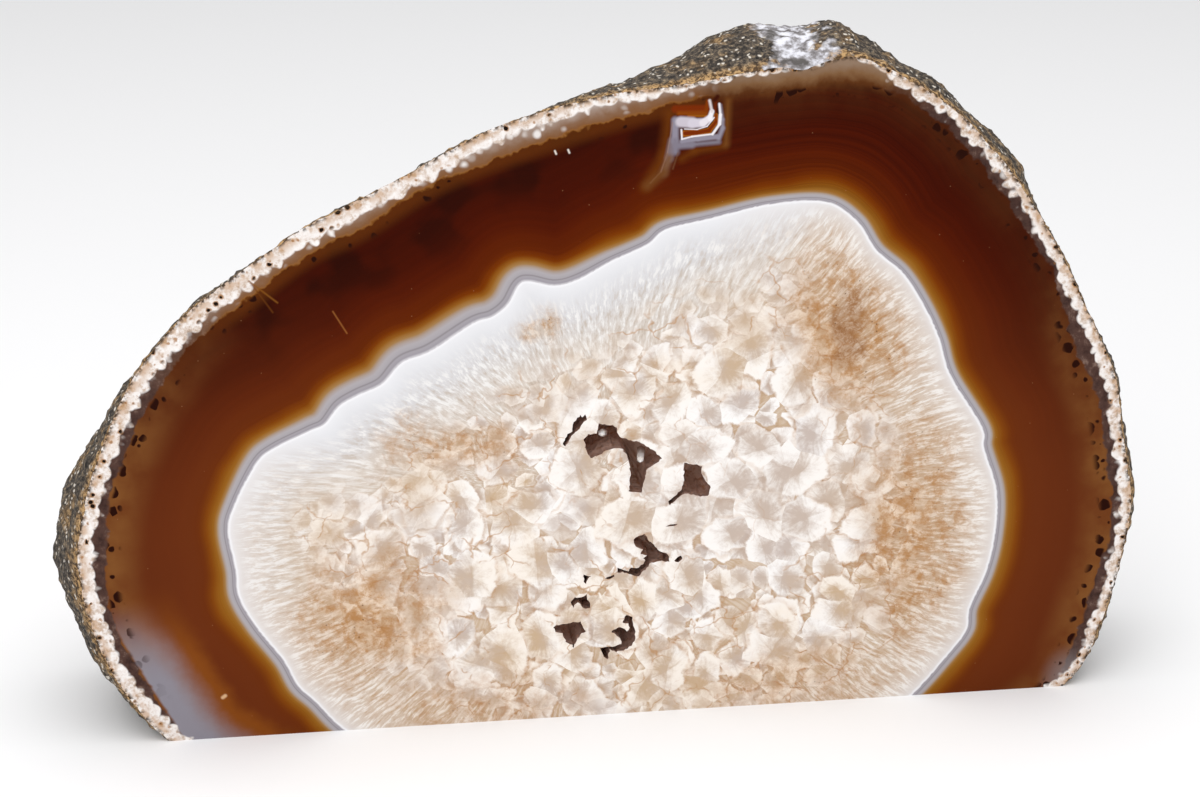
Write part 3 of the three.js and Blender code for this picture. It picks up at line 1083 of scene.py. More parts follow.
class QuartzEffect(Effect):
    """Milky quartz: fibres at the wall, then crystals that grow larger to the middle."""

    name = "quartz crystals"
    takes = {"Place": "Vector", "Grow": "Vector", "Wall": "Float", "Milk": "Float"}
    gives = {"Color": "Color"}
    vein_scale = 0.17

    # Size of a crystal, depth where the layer starts and is full, and share of its crystals that
    # are left out.
    scales: tuple[tuple[float, float, float, float], ...] = (
        (3.4, 14.0, 24.0, 0.1), (5.0, 17.0, 25.0, 0.15), (6.8, 20.0, 28.0, 0.15), (8.2, 23.0, 30.0, 0.4),
    )
    stains: tuple[tuple[Point, Point, float], ...] = (
        ((39.0, 69.0), (14.0, 23.0), 1.0),
        ((51.0, 30.0), (13.0, 32.0), 0.9),
        ((-42.0, 20.0), (17.0, 17.0), 1.0),
        ((-12.0, 71.0), (5.0, 6.0), 0.9),
        ((-26.0, 51.0), (17.0, 8.0), 0.7),
        ((-24.0, 2.0), (24.0, 10.0), 0.5),
        ((34.0, 2.0), (26.0, 14.0), 0.45),
    )

    def draw(self, sheet: Sheet, came: Inputs) -> dict[str, Value]:
        """Blend the fibres into layers of crystals, with painted shadow round each crystal, and stain them.
        """
        place = came["Place"]
        across, depth, up = sheet.axes(place)
        deep = sheet.times(came["Wall"], -1.0)
        lifted = sheet.math("ADD", up, sheet.math("SUBTRACT", depth, FACE_Y))
        flat = sheet.drift(sheet.join(across, lifted, 0.0), 0.2, 1.0)
        cloudy = sheet.noise(place, 0.1, 3.0, 0.55)
        stain = self._stain(sheet, sheet.drift(place, 0.12, 7.0), deep)
        color = self._fibres(sheet, came, deep)

        grown = sheet.math("MULTIPLY_ADD", cloudy, 12.0, deep)
        clean = sheet.patch(place, (22.0, 42.0), (32.0, 26.0))
        tan = sheet.ease(sheet.noise(place, 0.09, 4.0, 0.6), 0.36, 0.62, 0.05, 0.8)
        tan = sheet.math("MAXIMUM", stain, sheet.times(tan, sheet.math("SUBTRACT", 1.0, clean)))
        blot = sheet.ease(sheet.noise(flat, 0.45, 7.0, 0.74), 0.42, 0.66)
        for index, (size, start, full, bare) in enumerate(self.scales):
            moved = sheet.vector("ADD", flat, (31.0 * index, 17.0 * index, 0.0))
            scale = sheet.use(ScaleEffect().tree(), Place=moved, Size=size).outputs
            zone = sheet.times(
                sheet.ease(grown, start, full), sheet.ease(scale["Kind"], bare, bare + 0.02)
            )
            # Painted shadow: each crystal darkens what lies under it just outside its edge.
            shade = sheet.times(sheet.ease(scale["Out"], 1.4, 1.0, 0.0, 0.35), zone)
            color = sheet.blend(shade, color, linear((222, 200, 178)), "MULTIPLY")
            own = sheet.math(
                "MULTIPLY_ADD", scale["Kind"], 0.5, sheet.math("SUBTRACT", tan, 0.22), clamp=True
            )
            dull = sheet.blend(own, linear((200, 185, 176)), linear((201, 174, 144)))
            bright = sheet.blend(
                sheet.times(own, 0.6), linear((252, 249, 247)), linear((245, 231, 213))
            )
            # Milk carries the milky edge together with the painted light and shade of the facets.
            crystal = sheet.blend(scale["Milk"], dull, bright)
            cover = sheet.times(sheet.ease(scale["Out"], 1.06, 0.88), zone)
            color = sheet.blend(cover, color, crystal)
            gap = sheet.math("ABSOLUTE", sheet.math("SUBTRACT", scale["Out"], 1.04))
            seam = sheet.times(sheet.ease(gap, 0.12, 0.0, 0.0, 0.8), zone)
            seam = sheet.times(seam, sheet.times(blot, tan))
            color = sheet.blend(seam, color, linear((186, 136, 88)))

        edges = sheet.node("ShaderNodeTexVoronoi", voronoi_dimensions="2D", feature="DISTANCE_TO_EDGE")
        sheet.feed(edges.inputs["Vector"], sheet.drift(flat, 0.6, 1.2))
        edges.inputs["Scale"].default_value = self.vein_scale
        vein = sheet.times(
            sheet.ease(edges.outputs[0], 0.045, 0.0, 0.0, 0.65), sheet.ease(grown, 13.0, 20.0)
        )
        vein = sheet.times(vein, sheet.ease(sheet.noise(place, 0.16, 4.0, 0.65), 0.47, 0.6))
        vein = sheet.times(vein, sheet.math("MULTIPLY_ADD", clean, -0.7, 1.0))
        color = sheet.blend(vein, color, linear((184, 134, 82)))
        tint = sheet.times(stain, sheet.math("MULTIPLY_ADD", blot, 0.45, 0.55))
        color = sheet.blend(tint, color, linear((228, 198, 162)), "MULTIPLY")
        rust = sheet.times(sheet.times(stain, blot), 0.9)
        color = sheet.blend(rust, color, linear((178, 128, 78)))
        core = sheet.patch(sheet.drift(place, 0.25, 5.0), (38.5, 68.0), (4.5, 10.0))
        core = sheet.times(core, sheet.math("MULTIPLY_ADD", blot, 0.55, 0.35))
        color = sheet.blend(core, color, linear((142, 96, 60)))
        specks = sheet.cells(place, 1.3)
        rare = sheet.times(sheet.ease(sheet.axes(specks.outputs[1])[0], 0.84, 0.88), stain)
        dot = sheet.times(rare, sheet.ease(specks.outputs[0], 0.24, 0.1))
        color = sheet.blend(sheet.times(dot, 0.8), color, linear((98, 66, 42)))
        line = sheet.ease(deep, 0.5, 0.1, 0.0, 0.8)
        return {"Color": sheet.blend(line, color, linear((244, 243, 246)))}

    def _stain(self, sheet: Sheet, place: Value, deep: Value) -> Socket:
        """Mask the parts that iron has stained.

        Args:
            sheet: Tree to draw on.
            place: Where it is read.
            deep: Distance inside the wall.

        Returns:
            The mask.
        """
        total: Value = 0.0
        for centre, radii, amount in self.stains:
            spot = sheet.times(sheet.patch(place, centre, radii), amount)
            total = sheet.math("MAXIMUM", spot, total)
        return sheet.times(total, sheet.ease(deep, 1.0, 7.0))

    @staticmethod
    def _fibres(sheet: Sheet, came: Inputs, deep: Value) -> Socket:
        """Colour the smooth milky quartz and the fine fibres that stand on the wall.

        Args:
            sheet: Tree to draw on.
            came: The inputs.
            deep: Distance inside the wall.

        Returns:
            The colour.
        """
        part = sheet.math("DIVIDE", deep, 20.0)
        milk = sheet.ramp(
            part, (0.0, (236, 236, 239)), (0.12, (225, 225, 228)), (0.3, (216, 214, 215)),
            (0.5, (216, 208, 201)),
            (0.8, (216, 204, 192)), (1.0, (212, 196, 180)),
        )
        straw = sheet.ramp(
            part, (0.0, (232, 228, 228)), (0.05, (221, 212, 206)), (0.16, (216, 201, 188)),
            (0.5, (207, 187, 166)),
            (1.0, (204, 180, 154)),
        )
        fade = sheet.ease(deep, 24.0, 12.0, 0.3, 1.0)
        bundle = sheet.drift(came["Grow"], 0.14, 1.1)
        fibre = sheet.noise(sheet.vector("MULTIPLY", bundle, (1.5, 1.5, 0.27)), 1.0, 5.0, 0.7)
        light = sheet.times(sheet.ease(fibre, 0.46, 0.6), sheet.ease(deep, 0.2, 2.5, 0.0, 0.75))
        light = sheet.times(light, fade)
        straw = sheet.blend(light, straw, linear((248, 245, 242)))
        dark = sheet.times(sheet.ease(fibre, 0.44, 0.32), sheet.ease(deep, 0.5, 6.0, 0.0, 0.7))
        dark = sheet.times(dark, fade)
        straw = sheet.blend(dark, straw, linear((182, 140, 96)))
        cotton = sheet.noise(sheet.vector("MULTIPLY", bundle, (0.9, 0.9, 0.5)), 1.0, 5.0, 0.66)
        fuzz = sheet.times(sheet.ease(cotton, 0.48, 0.62), sheet.ease(deep, 0.8, 6.0, 0.0, 0.8))
        milk = sheet.blend(fuzz, milk, linear((244, 242, 240)))
        shade = sheet.times(sheet.ease(cotton, 0.48, 0.34), sheet.ease(deep, 1.5, 9.0, 0.0, 0.7))
        milk = sheet.blend(shade, milk, linear((190, 174, 158)))
        return sheet.blend(came["Milk"], straw, milk)


@dataclass(frozen=True)
class Finish:
    """A finish with one plain shader."""

    name: str
    roughness: float
    shine: float

    def start(self) -> tuple[bpy.types.Material, Sheet, bpy.types.Node]:
        """Make the material.

        Returns:
            The material, its tree and its shader.
        """
        material = bpy.data.materials.new(self.name)
        material.use_nodes = True
        shader = material.node_tree.nodes["Principled BSDF"]
        shader.inputs["Roughness"].default_value = self.roughness
        shader.inputs["Specular IOR Level"].default_value = self.shine
        return material, Sheet(material.node_tree), shader

    def relief(
        self, sheet: Sheet, shader: bpy.types.Node, height: Value, depth: float, strength: float
    ) -> None:
        """Add bump.

        Args:
            sheet: Tree of the material.
            shader: Shader that takes it.
            height: Height from 0 to 1.
            depth: Height of 1 in millimetres.
            strength: How strongly it shows.
        """
        bump = sheet.node("ShaderNodeBump")
        bump.inputs["Strength"].default_value = strength
        bump.inputs["Distance"].default_value = depth * MM
        sheet.feed(bump.inputs["Height"], height)
        sheet.feed(shader.inputs["Normal"], bump.outputs[0])

    def material(self) -> bpy.types.Material:
        """Make the finish."""
        raise NotImplementedError


@dataclass(frozen=True)
class PolishedQuartz(Finish):
    """The polished quartz heart of the face."""

    def material(self) -> bpy.types.Material:
        """Make the finish."""
        material, sheet, shader = self.start()
        quartz = sheet.use(
            QuartzEffect().tree(), Place=sheet.place(), Grow=sheet.arrow("grow"), Wall=sheet.number("wall"),
            Milk=sheet.number("milk"),
        )
        sheet.feed(shader.inputs["Base Color"], quartz.outputs["Color"])
        return material


@dataclass(frozen=True)
class PolishedAgate(Finish):
    """The polished bands of the face, with a few scratches and chips."""

    marks: tuple[Mark, ...] = ()

    def material(self) -> bpy.types.Material:
        """Make the finish."""
        material, sheet, shader = self.start()
        place = sheet.place()
        layers = layers_here(sheet, place)
        color = layers.outputs["Color"]
        before = layers.outputs["Pits"]
        for start, end, width, soft, tone in self.marks:
            mark = sheet.use(
                StrokeEffect().tree(), Place=place, Start=(start[0], 0.0, start[1]),
                End=(end[0], 0.0, end[1]),
                Width=width, Soft=soft, After=before,
            )
            before = mark.outputs["Mask"]
            color = sheet.blend(before, color, linear(tone))
        sheet.feed(shader.inputs["Base Color"], color)
        depth = sheet.math("SUBTRACT", 1.0, layers.outputs["Pits"])
        self.relief(sheet, shader, depth, 0.3, 0.6)
        return material


def layers_here(sheet: Sheet, place: Value) -> bpy.types.Node:
    """Place the agate's layers with the distances that the mesh carries.

    Args:
        sheet: Tree of the material.
        place: Where they are read.

    Returns:
        The group node.
    """
    names = ("wall", "grey", "skin", "rim", "white", "mist", "tan")
    return sheet.use(
        LayerEffect().tree(), Place=place, **{name.title(): sheet.number(name) for name in names}
    )


@dataclass(frozen=True)
class SawnStone(Finish):
    """The matt sawn back and base."""

    def material(self) -> bpy.types.Material:
        """Make the finish."""
        material, sheet, shader = self.start()
        place, wall = sheet.place(), sheet.number("wall")
        layers = layers_here(sheet, place)
        quartz = sheet.use(
            QuartzEffect().tree(), Place=place, Grow=sheet.arrow("grow"), Wall=wall, Milk=sheet.number("milk")
        )
        color = sheet.blend(sheet.ease(wall, -0.1, 0.1), quartz.outputs["Color"], layers.outputs["Color"])
        color = sheet.blend(0.28, color, linear((176, 160, 148)))
        sheet.feed(shader.inputs["Base Color"], color)
        marks = sheet.node("ShaderNodeTexWave", wave_type="RINGS", rings_direction="Y")
        sheet.feed(marks.inputs["Vector"], sheet.vector("SUBTRACT", place, (-60.0, 0.0, -190.0)))
        marks.inputs["Scale"].default_value = 0.12
        marks.inputs["Distortion"].default_value = 1.5
        marks.inputs["Detail"].default_value = 3.0
        self.relief(sheet, shader, marks.outputs[1], 0.12, 0.35)
        return material


@dataclass(frozen=True)
class RoughRind(Finish):
    """The weathered outside of the nodule."""

    def material(self) -> bpy.types.Material:
        """Make the finish."""
        material, sheet, shader = self.start()
        place = sheet.place()
        depth = sheet.axes(place)[1]
        coarse = sheet.noise(place, 0.18, 3.0, 0.6)
        fine = sheet.noise(place, 1.2, 5.0, 0.72)
        grains = sheet.cells(sheet.drift(place, 0.8, 0.5), 1.2)
        kind = sheet.axes(grains.outputs[1])[0]
        color = sheet.ramp(
            fine, (0.34, (30, 28, 27)), (0.48, (66, 60, 55)), (0.58, (112, 100, 86)), (0.7, (168, 148, 118))
        )
        earth = sheet.blend(sheet.ease(fine, 0.42, 0.6), linear((104, 80, 52)), linear((192, 154, 104)))
        color = sheet.blend(sheet.ease(coarse, 0.5, 0.7, 0.0, 0.6), color, earth)
        speck = sheet.times(sheet.ease(kind, 0.68, 0.72), sheet.ease(grains.outputs[0], 0.45, 0.2))
        color = sheet.blend(sheet.times(speck, 0.85), color, linear((224, 216, 204)))
        collar = sheet.ease(sheet.math("MULTIPLY_ADD", coarse, 4.0, depth), FACE_Y + 4.4, FACE_Y + 2.4)
        gold = sheet.blend(sheet.ease(fine, 0.44, 0.58), linear((84, 62, 40)), linear((200, 160, 108)))
        color = sheet.blend(sheet.times(collar, 0.8), color, gold)
        torn = sheet.times(sheet.math("SUBTRACT", coarse, 0.5), 14.0)
        near = sheet.vector("ADD", place, sheet.join(torn, 0.0, torn))
        frost = sheet.patch(near, (29.5, 115.0), (5.4, 6.0), 0.7)
        frost = sheet.times(frost, sheet.ease(sheet.math("ADD", torn, depth), 5.0, 0.0))
        ice = sheet.ramp(
            sheet.noise(place, 0.4, 4.0, 0.6), (0.36, (92, 88, 86)), (0.46, (142, 138, 140)),
            (0.56, (216, 216, 224)),
            (0.7, (244, 244, 248)),
        )
        color = sheet.blend(frost, color, ice)
        sheet.feed(shader.inputs["Base Color"], color)
        self.relief(sheet, shader, sheet.math("MULTIPLY_ADD", fine, 0.7, kind), 0.35, 0.7)
        return material


@dataclass(frozen=True)
class PocketWall(Finish):
    """The brown stained quartz inside a pocket, painted lighter deeper in to offset the shade that falls
    there.
    """

    def material(self) -> bpy.types.Material:
        """Make the finish."""
        material, sheet, shader = self.start()
        place = sheet.place()
        fine = sheet.noise(place, 0.8, 4.0, 0.6)
        # Painted light: the wall's colour grows lighter with depth to offset the shade deep in the pocket.
        sunk = sheet.math("DIVIDE", sheet.math("SUBTRACT", sheet.axes(place)[1], FACE_Y), 10.0)
        color = sheet.ramp(sunk, (0.0, (138, 108, 96)), (0.3, (200, 164, 148)), (0.8, (244, 214, 196)))
        stained = sheet.blend(1.0, color, linear((214, 176, 132)), "MULTIPLY")
        color = sheet.blend(sheet.ease(fine, 0.5, 0.66, 0.0, 0.7), color, stained)
        sheet.feed(shader.inputs["Base Color"], color)
        self.relief(sheet, shader, sheet.cells(place, 0.7).outputs[0], 0.6, 0.6)
        return material


@dataclass(frozen=True)
class QuartzPoint(Finish):
    """The milky quartz points that stand in the pockets, painted near-white as a painted highlight for the
    glints on them.
    """

    def material(self) -> bpy.types.Material:
        """Make the finish."""
        material, sheet, shader = self.start()
        place = sheet.place()
        depth = sheet.axes(place)[1]
        fine = sheet.noise(place, 0.9, 3.0, 0.6)
        # Painted highlight: milky quartz made near-white to stand for the glints; darker brown deeper in the
        # pocket.
        color = sheet.blend(sheet.ease(fine, 0.45, 0.65), linear((255, 253, 251)), linear((232, 222, 212)))
        color = sheet.blend(sheet.ease(depth, FACE_Y + 1.5, FACE_Y + 4.0), color, linear((150, 116, 100)))
        sheet.feed(shader.inputs["Base Color"], color)
        return material


SCRATCHES: tuple[Mark, ...] = (
    ((-58.5, 81.0), (-54.2, 77.2), 0.1, 0.2, (128, 78, 26)),
    ((-58.2, 80.6), (-55.0, 75.6), 0.05, 0.25, (104, 56, 16)),
    ((-45.5, 75.3), (-43.4, 71.5), 0.08, 0.18, (150, 92, 44)),
    ((-66.2, 7.6), (-65.8, 7.9), 0.3, 0.2, (214, 172, 130)),
    ((-9.8, 100.5), (-9.6, 100.0), 0.12, 0.15, (236, 226, 216)),
    ((-7.7, 100.6), (-7.5, 100.1), 0.12, 0.15, (236, 226, 216)),
)
# Left, low, right and high end of the part of the face that holds the inclusion.
INCLUSION_BOX = (3.0, 92.0, 21.0, 109.5)
LILAC: Tone = (142, 136, 150)
SLATE: Tone = (128, 121, 134)
MILKY: Tone = (238, 234, 238)
RUST: Tone = (118, 42, 4)
HONEY: Tone = (166, 96, 20)
AMBER: Tone = (104, 52, 8)
# The inclusion's marks: start, end, half width, softness and colour.
INCLUSION: tuple[Mark, ...] = (
    ((8.3, 105.8), (7.6, 99.0), 0.5, 1.3, AMBER), ((7.6, 99.0), (4.6, 94.0), 0.6, 1.3, AMBER),
    ((10.4, 98.4), (12.4, 99.6), 0.3, 1.1, AMBER), ((12.4, 99.6), (17.2, 100.2), 0.3, 1.0, AMBER),
    ((17.5, 100.6), (17.7, 107.6), 0.3, 0.9, (118, 72, 30)),
    ((8.9, 101.4), (8.4, 98.6), 0.6, 0.45, (124, 108, 112)),
    ((8.4, 98.6), (7.5, 96.2), 0.55, 0.6, (118, 82, 58)),
    ((7.5, 96.2), (5.0, 94.2), 0.6, 0.9, (108, 64, 28)),
    ((9.3, 104.8), (9.3, 101.4), 0.55, 0.35, LILAC), ((9.3, 101.4), (9.4, 99.6), 0.5, 0.5, SLATE),
    ((9.6, 100.6), (12.0, 100.7), 0.55, 0.4, SLATE), ((12.0, 100.7), (16.3, 100.95), 0.3, 0.4, SLATE),
    ((10.4, 101.3), (13.0, 101.6), 0.35, 0.2, LILAC), ((13.0, 101.6), (16.0, 101.85), 0.4, 0.2, LILAC),
    ((16.3, 101.6), (16.9, 103.2), 0.35, 0.3, LILAC), ((16.9, 103.2), (16.9, 104.6), 0.22, 0.3, LILAC),
    ((16.9, 104.6), (16.5, 107.0), 0.15, 0.3, LILAC),
    ((8.9, 104.4), (8.1, 99.4), 0.05, 0.15, (152, 124, 116)),
    ((8.1, 99.4), (7.1, 96.4), 0.05, 0.18, (140, 102, 80)),
    ((7.1, 96.4), (5.4, 94.6), 0.04, 0.2, (126, 84, 52)),
    ((9.8, 99.4), (9.0, 96.8), 0.05, 0.25, (112, 74, 48)),
    ((9.3, 106.6), (14.2, 106.5), 0.6, 0.3, RUST), ((9.9, 105.9), (14.2, 105.8), 0.35, 0.35, (134, 62, 6)),
    ((14.2, 106.3), (14.45, 107.7), 0.28, 0.2, (126, 54, 4)),
    ((11.4, 105.4), (14.3, 105.3), 0.12, 0.3, HONEY),
    ((10.2, 104.5), (12.0, 104.3), 0.85, 0.3, (200, 192, 202)),
    ((12.0, 104.2), (13.7, 104.2), 0.72, 0.25, (210, 203, 214)),
    ((13.7, 104.2), (14.8, 104.9), 0.55, 0.2, (228, 222, 228)),
    ((14.8, 104.9), (15.15, 106.0), 0.38, 0.18, MILKY),
    ((15.15, 106.0), (14.75, 107.8), 0.2, 0.2, (216, 206, 206)),
    ((10.8, 102.55), (12.8, 102.6), 0.52, 0.14, HONEY), ((12.8, 102.6), (14.7, 102.85), 0.46, 0.14, HONEY),
    ((14.7, 102.85), (15.85, 104.3), 0.4, 0.14, HONEY), ((15.85, 104.3), (15.8, 105.4), 0.3, 0.14, HONEY),
    ((10.95, 102.6), (12.8, 102.65), 0.36, 0.14, RUST), ((12.8, 102.65), (14.7, 102.9), 0.32, 0.14, RUST),
    ((14.7, 102.9), (15.8, 104.3), 0.28, 0.14, RUST), ((15.8, 104.3), (15.8, 105.4), 0.16, 0.14, RUST),
    ((15.8, 105.4), (15.6, 106.5), 0.08, 0.16, RUST), ((15.6, 106.5), (15.8, 107.6), 0.2, 0.2, (96, 32, 4)),
    ((15.6, 107.9), (16.0, 108.4), 0.35, 0.25, (58, 16, 3)),
    ((10.8, 103.3), (12.8, 103.15), 0.07, 0.1, MILKY), ((12.8, 103.15), (14.4, 103.6), 0.07, 0.1, MILKY),
    ((14.4, 103.6), (15.5, 105.0), 0.08, 0.1, MILKY),
    ((10.3, 103.2), (10.4, 101.7), 0.13, 0.12, MILKY), ((10.4, 101.65), (12.0, 102.0), 0.12, 0.12, MILKY),
    ((12.0, 102.0), (15.3, 102.3), 0.13, 0.12, MILKY), ((15.3, 102.3), (16.4, 103.9), 0.2, 0.14, MILKY),
    ((16.4, 103.9), (16.5, 105.4), 0.26, 0.14, MILKY), ((16.5, 105.4), (16.3, 107.2), 0.16, 0.16, MILKY),
)


@dataclass
class AgateSlice:
    """The whole stone: a thick slice of a nodule, sawn flat at the back and below."""

    stations: int = 720
    side_rings: int = 40
    lump_size: float = 13.0
    lump_height: float = 1.1
    knob_size: float = 5.5
    knob_height: float = 0.9
    knob_level: float = 0.25
    grain_size: float = 1.7
    grain_height: float = 0.45
    rim_depth: float = 4.0
    chip: float = 0.55
    core_share: float = 0.6
    back_share: float = 0.9
    seed: int = 7

    def __post_init__(self) -> None:
        """Lay out the lines on the two flat sides."""
        self.edge = Outline(FACE_EDGE).stations(self.stations)
        self.angles = bearing(self.edge)
        along = np.roll(self.edge, -1, 0) - np.roll(self.edge, 1, 0)
        out = np.column_stack((-along[:, 1], along[:, 0]))
        self.out = out / np.linalg.norm(out, axis=1)[:, None]
        self.ray = np.column_stack((np.cos(self.angles), np.sin(self.angles)))
        self.wall = Outline(QUARTZ_WALL).reach(self.angles)
        self.brown = np.minimum(
            Outline(BROWN_EDGE).reach(self.angles), Outline(FACE_EDGE).reach(self.angles) - 1.2
        )
        self.wall_back = self.wall * self.back_share

    def _flare(self, depth: float) -> np.ndarray:
        """Give the rind's bulge at a depth.

        Args:
            depth: From 0 at the polished face to 1 at the back.

        Returns:
            The bulge at each station in millimetres.
        """
        degrees = np.degrees(bearing(self.edge, np.array(FLARE_CENTRE)))
        middle, back = (eased(FLARE, column, degrees) for column in (1, 2))
        hump = depth * (1.0 - depth) / (MIDDLE_DEPTH * (1.0 - MIDDLE_DEPTH))
        return middle * hump + back * depth * (depth - MIDDLE_DEPTH) / (1.0 - MIDDLE_DEPTH)

    def _relief(self, x: float, y: float, z: float) -> float:
        """Give the height of the rind's lumps, knobs and grain.

        Args:
            x: Place across.
            y: Place in depth.
            z: Place upward.

        Returns:
            The height in millimetres.
        """
        spot = Vector((x, y, z))
        fade = min(1.0, (y - FACE_Y) / self.rim_depth, (BACK_Y - y) / self.rim_depth)
        lumps = self.lump_height * noise.noise(spot / self.lump_size)
        knob = max(0.0, noise.noise(spot / self.knob_size) - self.knob_level)
        grain = self.grain_height * noise.fractal(spot / self.grain_size, 0.8, 2.0, 3)
        near = min(1.0, (y - FACE_Y) / 0.8, (BACK_Y - y) / 0.8)
        return fade * (lumps + self.knob_height * knob / (1.0 - self.knob_level)) + near * grain

    def _side(self, depth: float) -> np.ndarray:
        """Place a ring of the rind.

        Args:
            depth: From 0 at the polished face to 1 at the back.

        Returns:
            The ring's places.
        """
        y = FACE_Y + THICKNESS * depth
        flat = self.edge + self.out * self._flare(depth)[:, None]
        rough = np.array([self._relief(x, y, z) for x, z in flat])
        if depth in (0.0, 1.0):
            rough = np.array([-self.chip * max(0.0, noise.noise(Vector((x, y, z)) / 2.2)) for x, z in flat])
        flat = flat + self.out * rough[:, None]
        return np.column_stack((flat[:, 0], np.full(self.stations, y), flat[:, 1]))

    def _flat(self, reach: np.ndarray, y: float) -> np.ndarray:
        """Place a ring at a distance from the heart.

        Args:
            reach: Distance at each station.
            y: Depth of the flat side.

        Returns:
            The ring's places.
        """
        flat = HEART + self.ray * reach[:, None]
        return np.column_stack((flat[:, 0], np.full(self.stations, y), flat[:, 1]))

    def shell(self, bm: bmesh.types.BMesh) -> None:
        """Build the stone ring by ring from the heart of the face round to the heart of the back.

        Args:
            bm: Mesh to fill.
        """
        dice = random.Random(self.seed)
        loft = Loft(bm, self._flat(self.wall * self.core_share, FACE_Y))
        for share in (0.68, 0.76, 0.83, 0.89, 0.94, 0.975, 0.99, 1.0):
            loft.grow(self._flat(self.wall * share, FACE_Y), Zone.QUARTZ)
        for share in (0.02, 0.05, 0.1, 0.16, 0.24, 0.34, 0.46, 0.6, 0.75, 0.88, 0.96, 1.0):
            loft.grow(self._flat(self.wall + (self.brown - self.wall) * share, FACE_Y), Zone.AGATE)
        rim = self._side(0.0)
        start = self._flat(self.brown, FACE_Y)
        for share in (0.3, 0.6, 0.85, 1.0):
            loft.grow(start + (rim - start) * share, Zone.AGATE)
        for depth in (0.012, *np.linspace(0.0, 1.0, self.side_rings + 1)[1:]):
            loft.grow(self._side(float(depth)), Zone.RIND)
        rim = self._side(1.0)
        end = self._flat(self.wall_back, BACK_Y)
        for share in (0.1, 0.2, 0.3, 0.45, 0.6, 0.75, 0.9, 1.0):
            loft.grow(rim + (end - rim) * share, Zone.SAWN)
        loft.grow(self._flat(self.wall_back * 0.8, BACK_Y), Zone.SAWN)
        loft.grow(self._flat(self.wall_back * self.core_share, BACK_Y), Zone.SAWN)
        loft.close(Zone.SAWN)
        self._heart(bm, loft.mouth, dice)
        for face in bm.faces:
            x, _, z = face.calc_center_median() / MM
            left, low, right, high = INCLUSION_BOX
            if face.material_index == Zone.AGATE.value and left < x < right and low < z < high:
                face.material_index = Zone.INCLUSION.value

    def _heart(self, bm: bmesh.types.BMesh, rim: list[bmesh.types.BMEdge], dice: random.Random) -> None:
        """Fill the heart of the face round its pockets.

        Args:
            bm: Mesh of the stone.
            rim: Edges round the heart.
            dice: Source of the pockets' wander.
        """
        edges = list(rim)
        for pocket in POCKETS:
            edges += pocket.build(bm, dice)
        made = bmesh.ops.triangle_fill(bm, use_beauty=True, edges=edges, normal=(0.0, -1.0, 0.0))["geom"]
        for face in (item for item in made if isinstance(item, bmesh.types.BMFace)):
            face.material_index = Zone.QUARTZ.value

    def saw_base(self, bm: bmesh.types.BMesh) -> None:
        """Cut the stone flat below and close the cut.

        Args:
            bm: Mesh of the stone.
        """
        everything = bm.verts[:] + bm.edges[:] + bm.faces[:]
        cut = bmesh.ops.bisect_plane(
            bm, geom=everything, dist=1e-7, plane_co=(0, 0, 0), plane_no=(0, 0, 1), clear_inner=True
        )["geom_cut"]
        edges = [item for item in cut if isinstance(item, bmesh.types.BMEdge)]
        made = bmesh.ops.triangle_fill(bm, use_beauty=True, edges=edges, normal=(0.0, 0.0, -1.0))["geom"]
        for face in (item for item in made if isinstance(item, bmesh.types.BMFace)):
            face.material_index = Zone.SAWN.value

    @staticmethod
    def shade(bm: bmesh.types.BMesh) -> None:
        """Turn the faces outward and smooth them within each surface.

        Args:
            bm: Mesh of the stone.
        """
        bmesh.ops.recalc_face_normals(bm, faces=bm.faces[:])
        flat = {Zone.POCKET.value, Zone.CRYSTAL.value}
        for face in bm.faces:
            face.smooth = face.material_index not in flat
        rind = Zone.RIND.value
        for edge in bm.edges:
            kinds = {face.material_index == rind for face in edge.link_faces}
            tilt = edge.calc_face_angle(0.0)
            edge.smooth = len(kinds) == 1 and tilt < math.radians(60)

    def measure(self, mesh: bpy.types.Mesh) -> None:
        """Give each vertex its distances to the layers.

        Args:
            mesh: The finished mesh.
        """
        count = len(mesh.vertices)
        flat = np.empty(count * 3)
        mesh.vertices.foreach_get("co", flat)
        spots = flat.reshape(-1, 3) / MM - np.array((CENTRE_SHIFT, 0.0, 0.0))
        face = spots[:, [0, 2]]
        depth = np.clip((spots[:, 1] - FACE_Y) / THICKNESS, 0.0, 1.0)
        rim_back = self._side(1.0)[:, [0, 2]]
        shrink = HEART + self.ray * self.wall_back[:, None]
        front = Layers(Outline(FACE_EDGE).trace(), Outline(BROWN_EDGE).trace(), Outline(QUARTZ_WALL).trace())
        back = Layers(rim_back, rim_back + (HEART - rim_back) * 0.055, shrink)
        first, second = front.fields(face), back.fields(face)
        degrees = np.degrees(bearing(face))
        for name in first:
            self._store(mesh, name, first[name] * (1.0 - depth) + second[name] * depth)
        wall = first["wall"] * (1.0 - depth) + second["wall"] * depth
        self._store(mesh, "grey", wall / eased(GREY_WIDTH, 1, degrees))
        for name, table, column in (
            ("white", SKIN, 1), ("mist", SKIN, 2), ("tan", SKIN, 3), ("milk", MILK, 1)
        ):
            self._store(mesh, name, eased(table, column, degrees))
        turn = bearing(face)
        reach = 60.0
        grow = np.column_stack((np.cos(turn) * reach, np.sin(turn) * reach, wall))
        mesh.attributes.new("grow", "FLOAT_VECTOR", "POINT").data.foreach_set("vector", grow.ravel())

    @staticmethod
    def _store(mesh: bpy.types.Mesh, name: str, values: np.ndarray) -> None:
        """Keep one number for each vertex."""
        mesh.attributes.new(name, "FLOAT", "POINT").data.foreach_set("value", values)

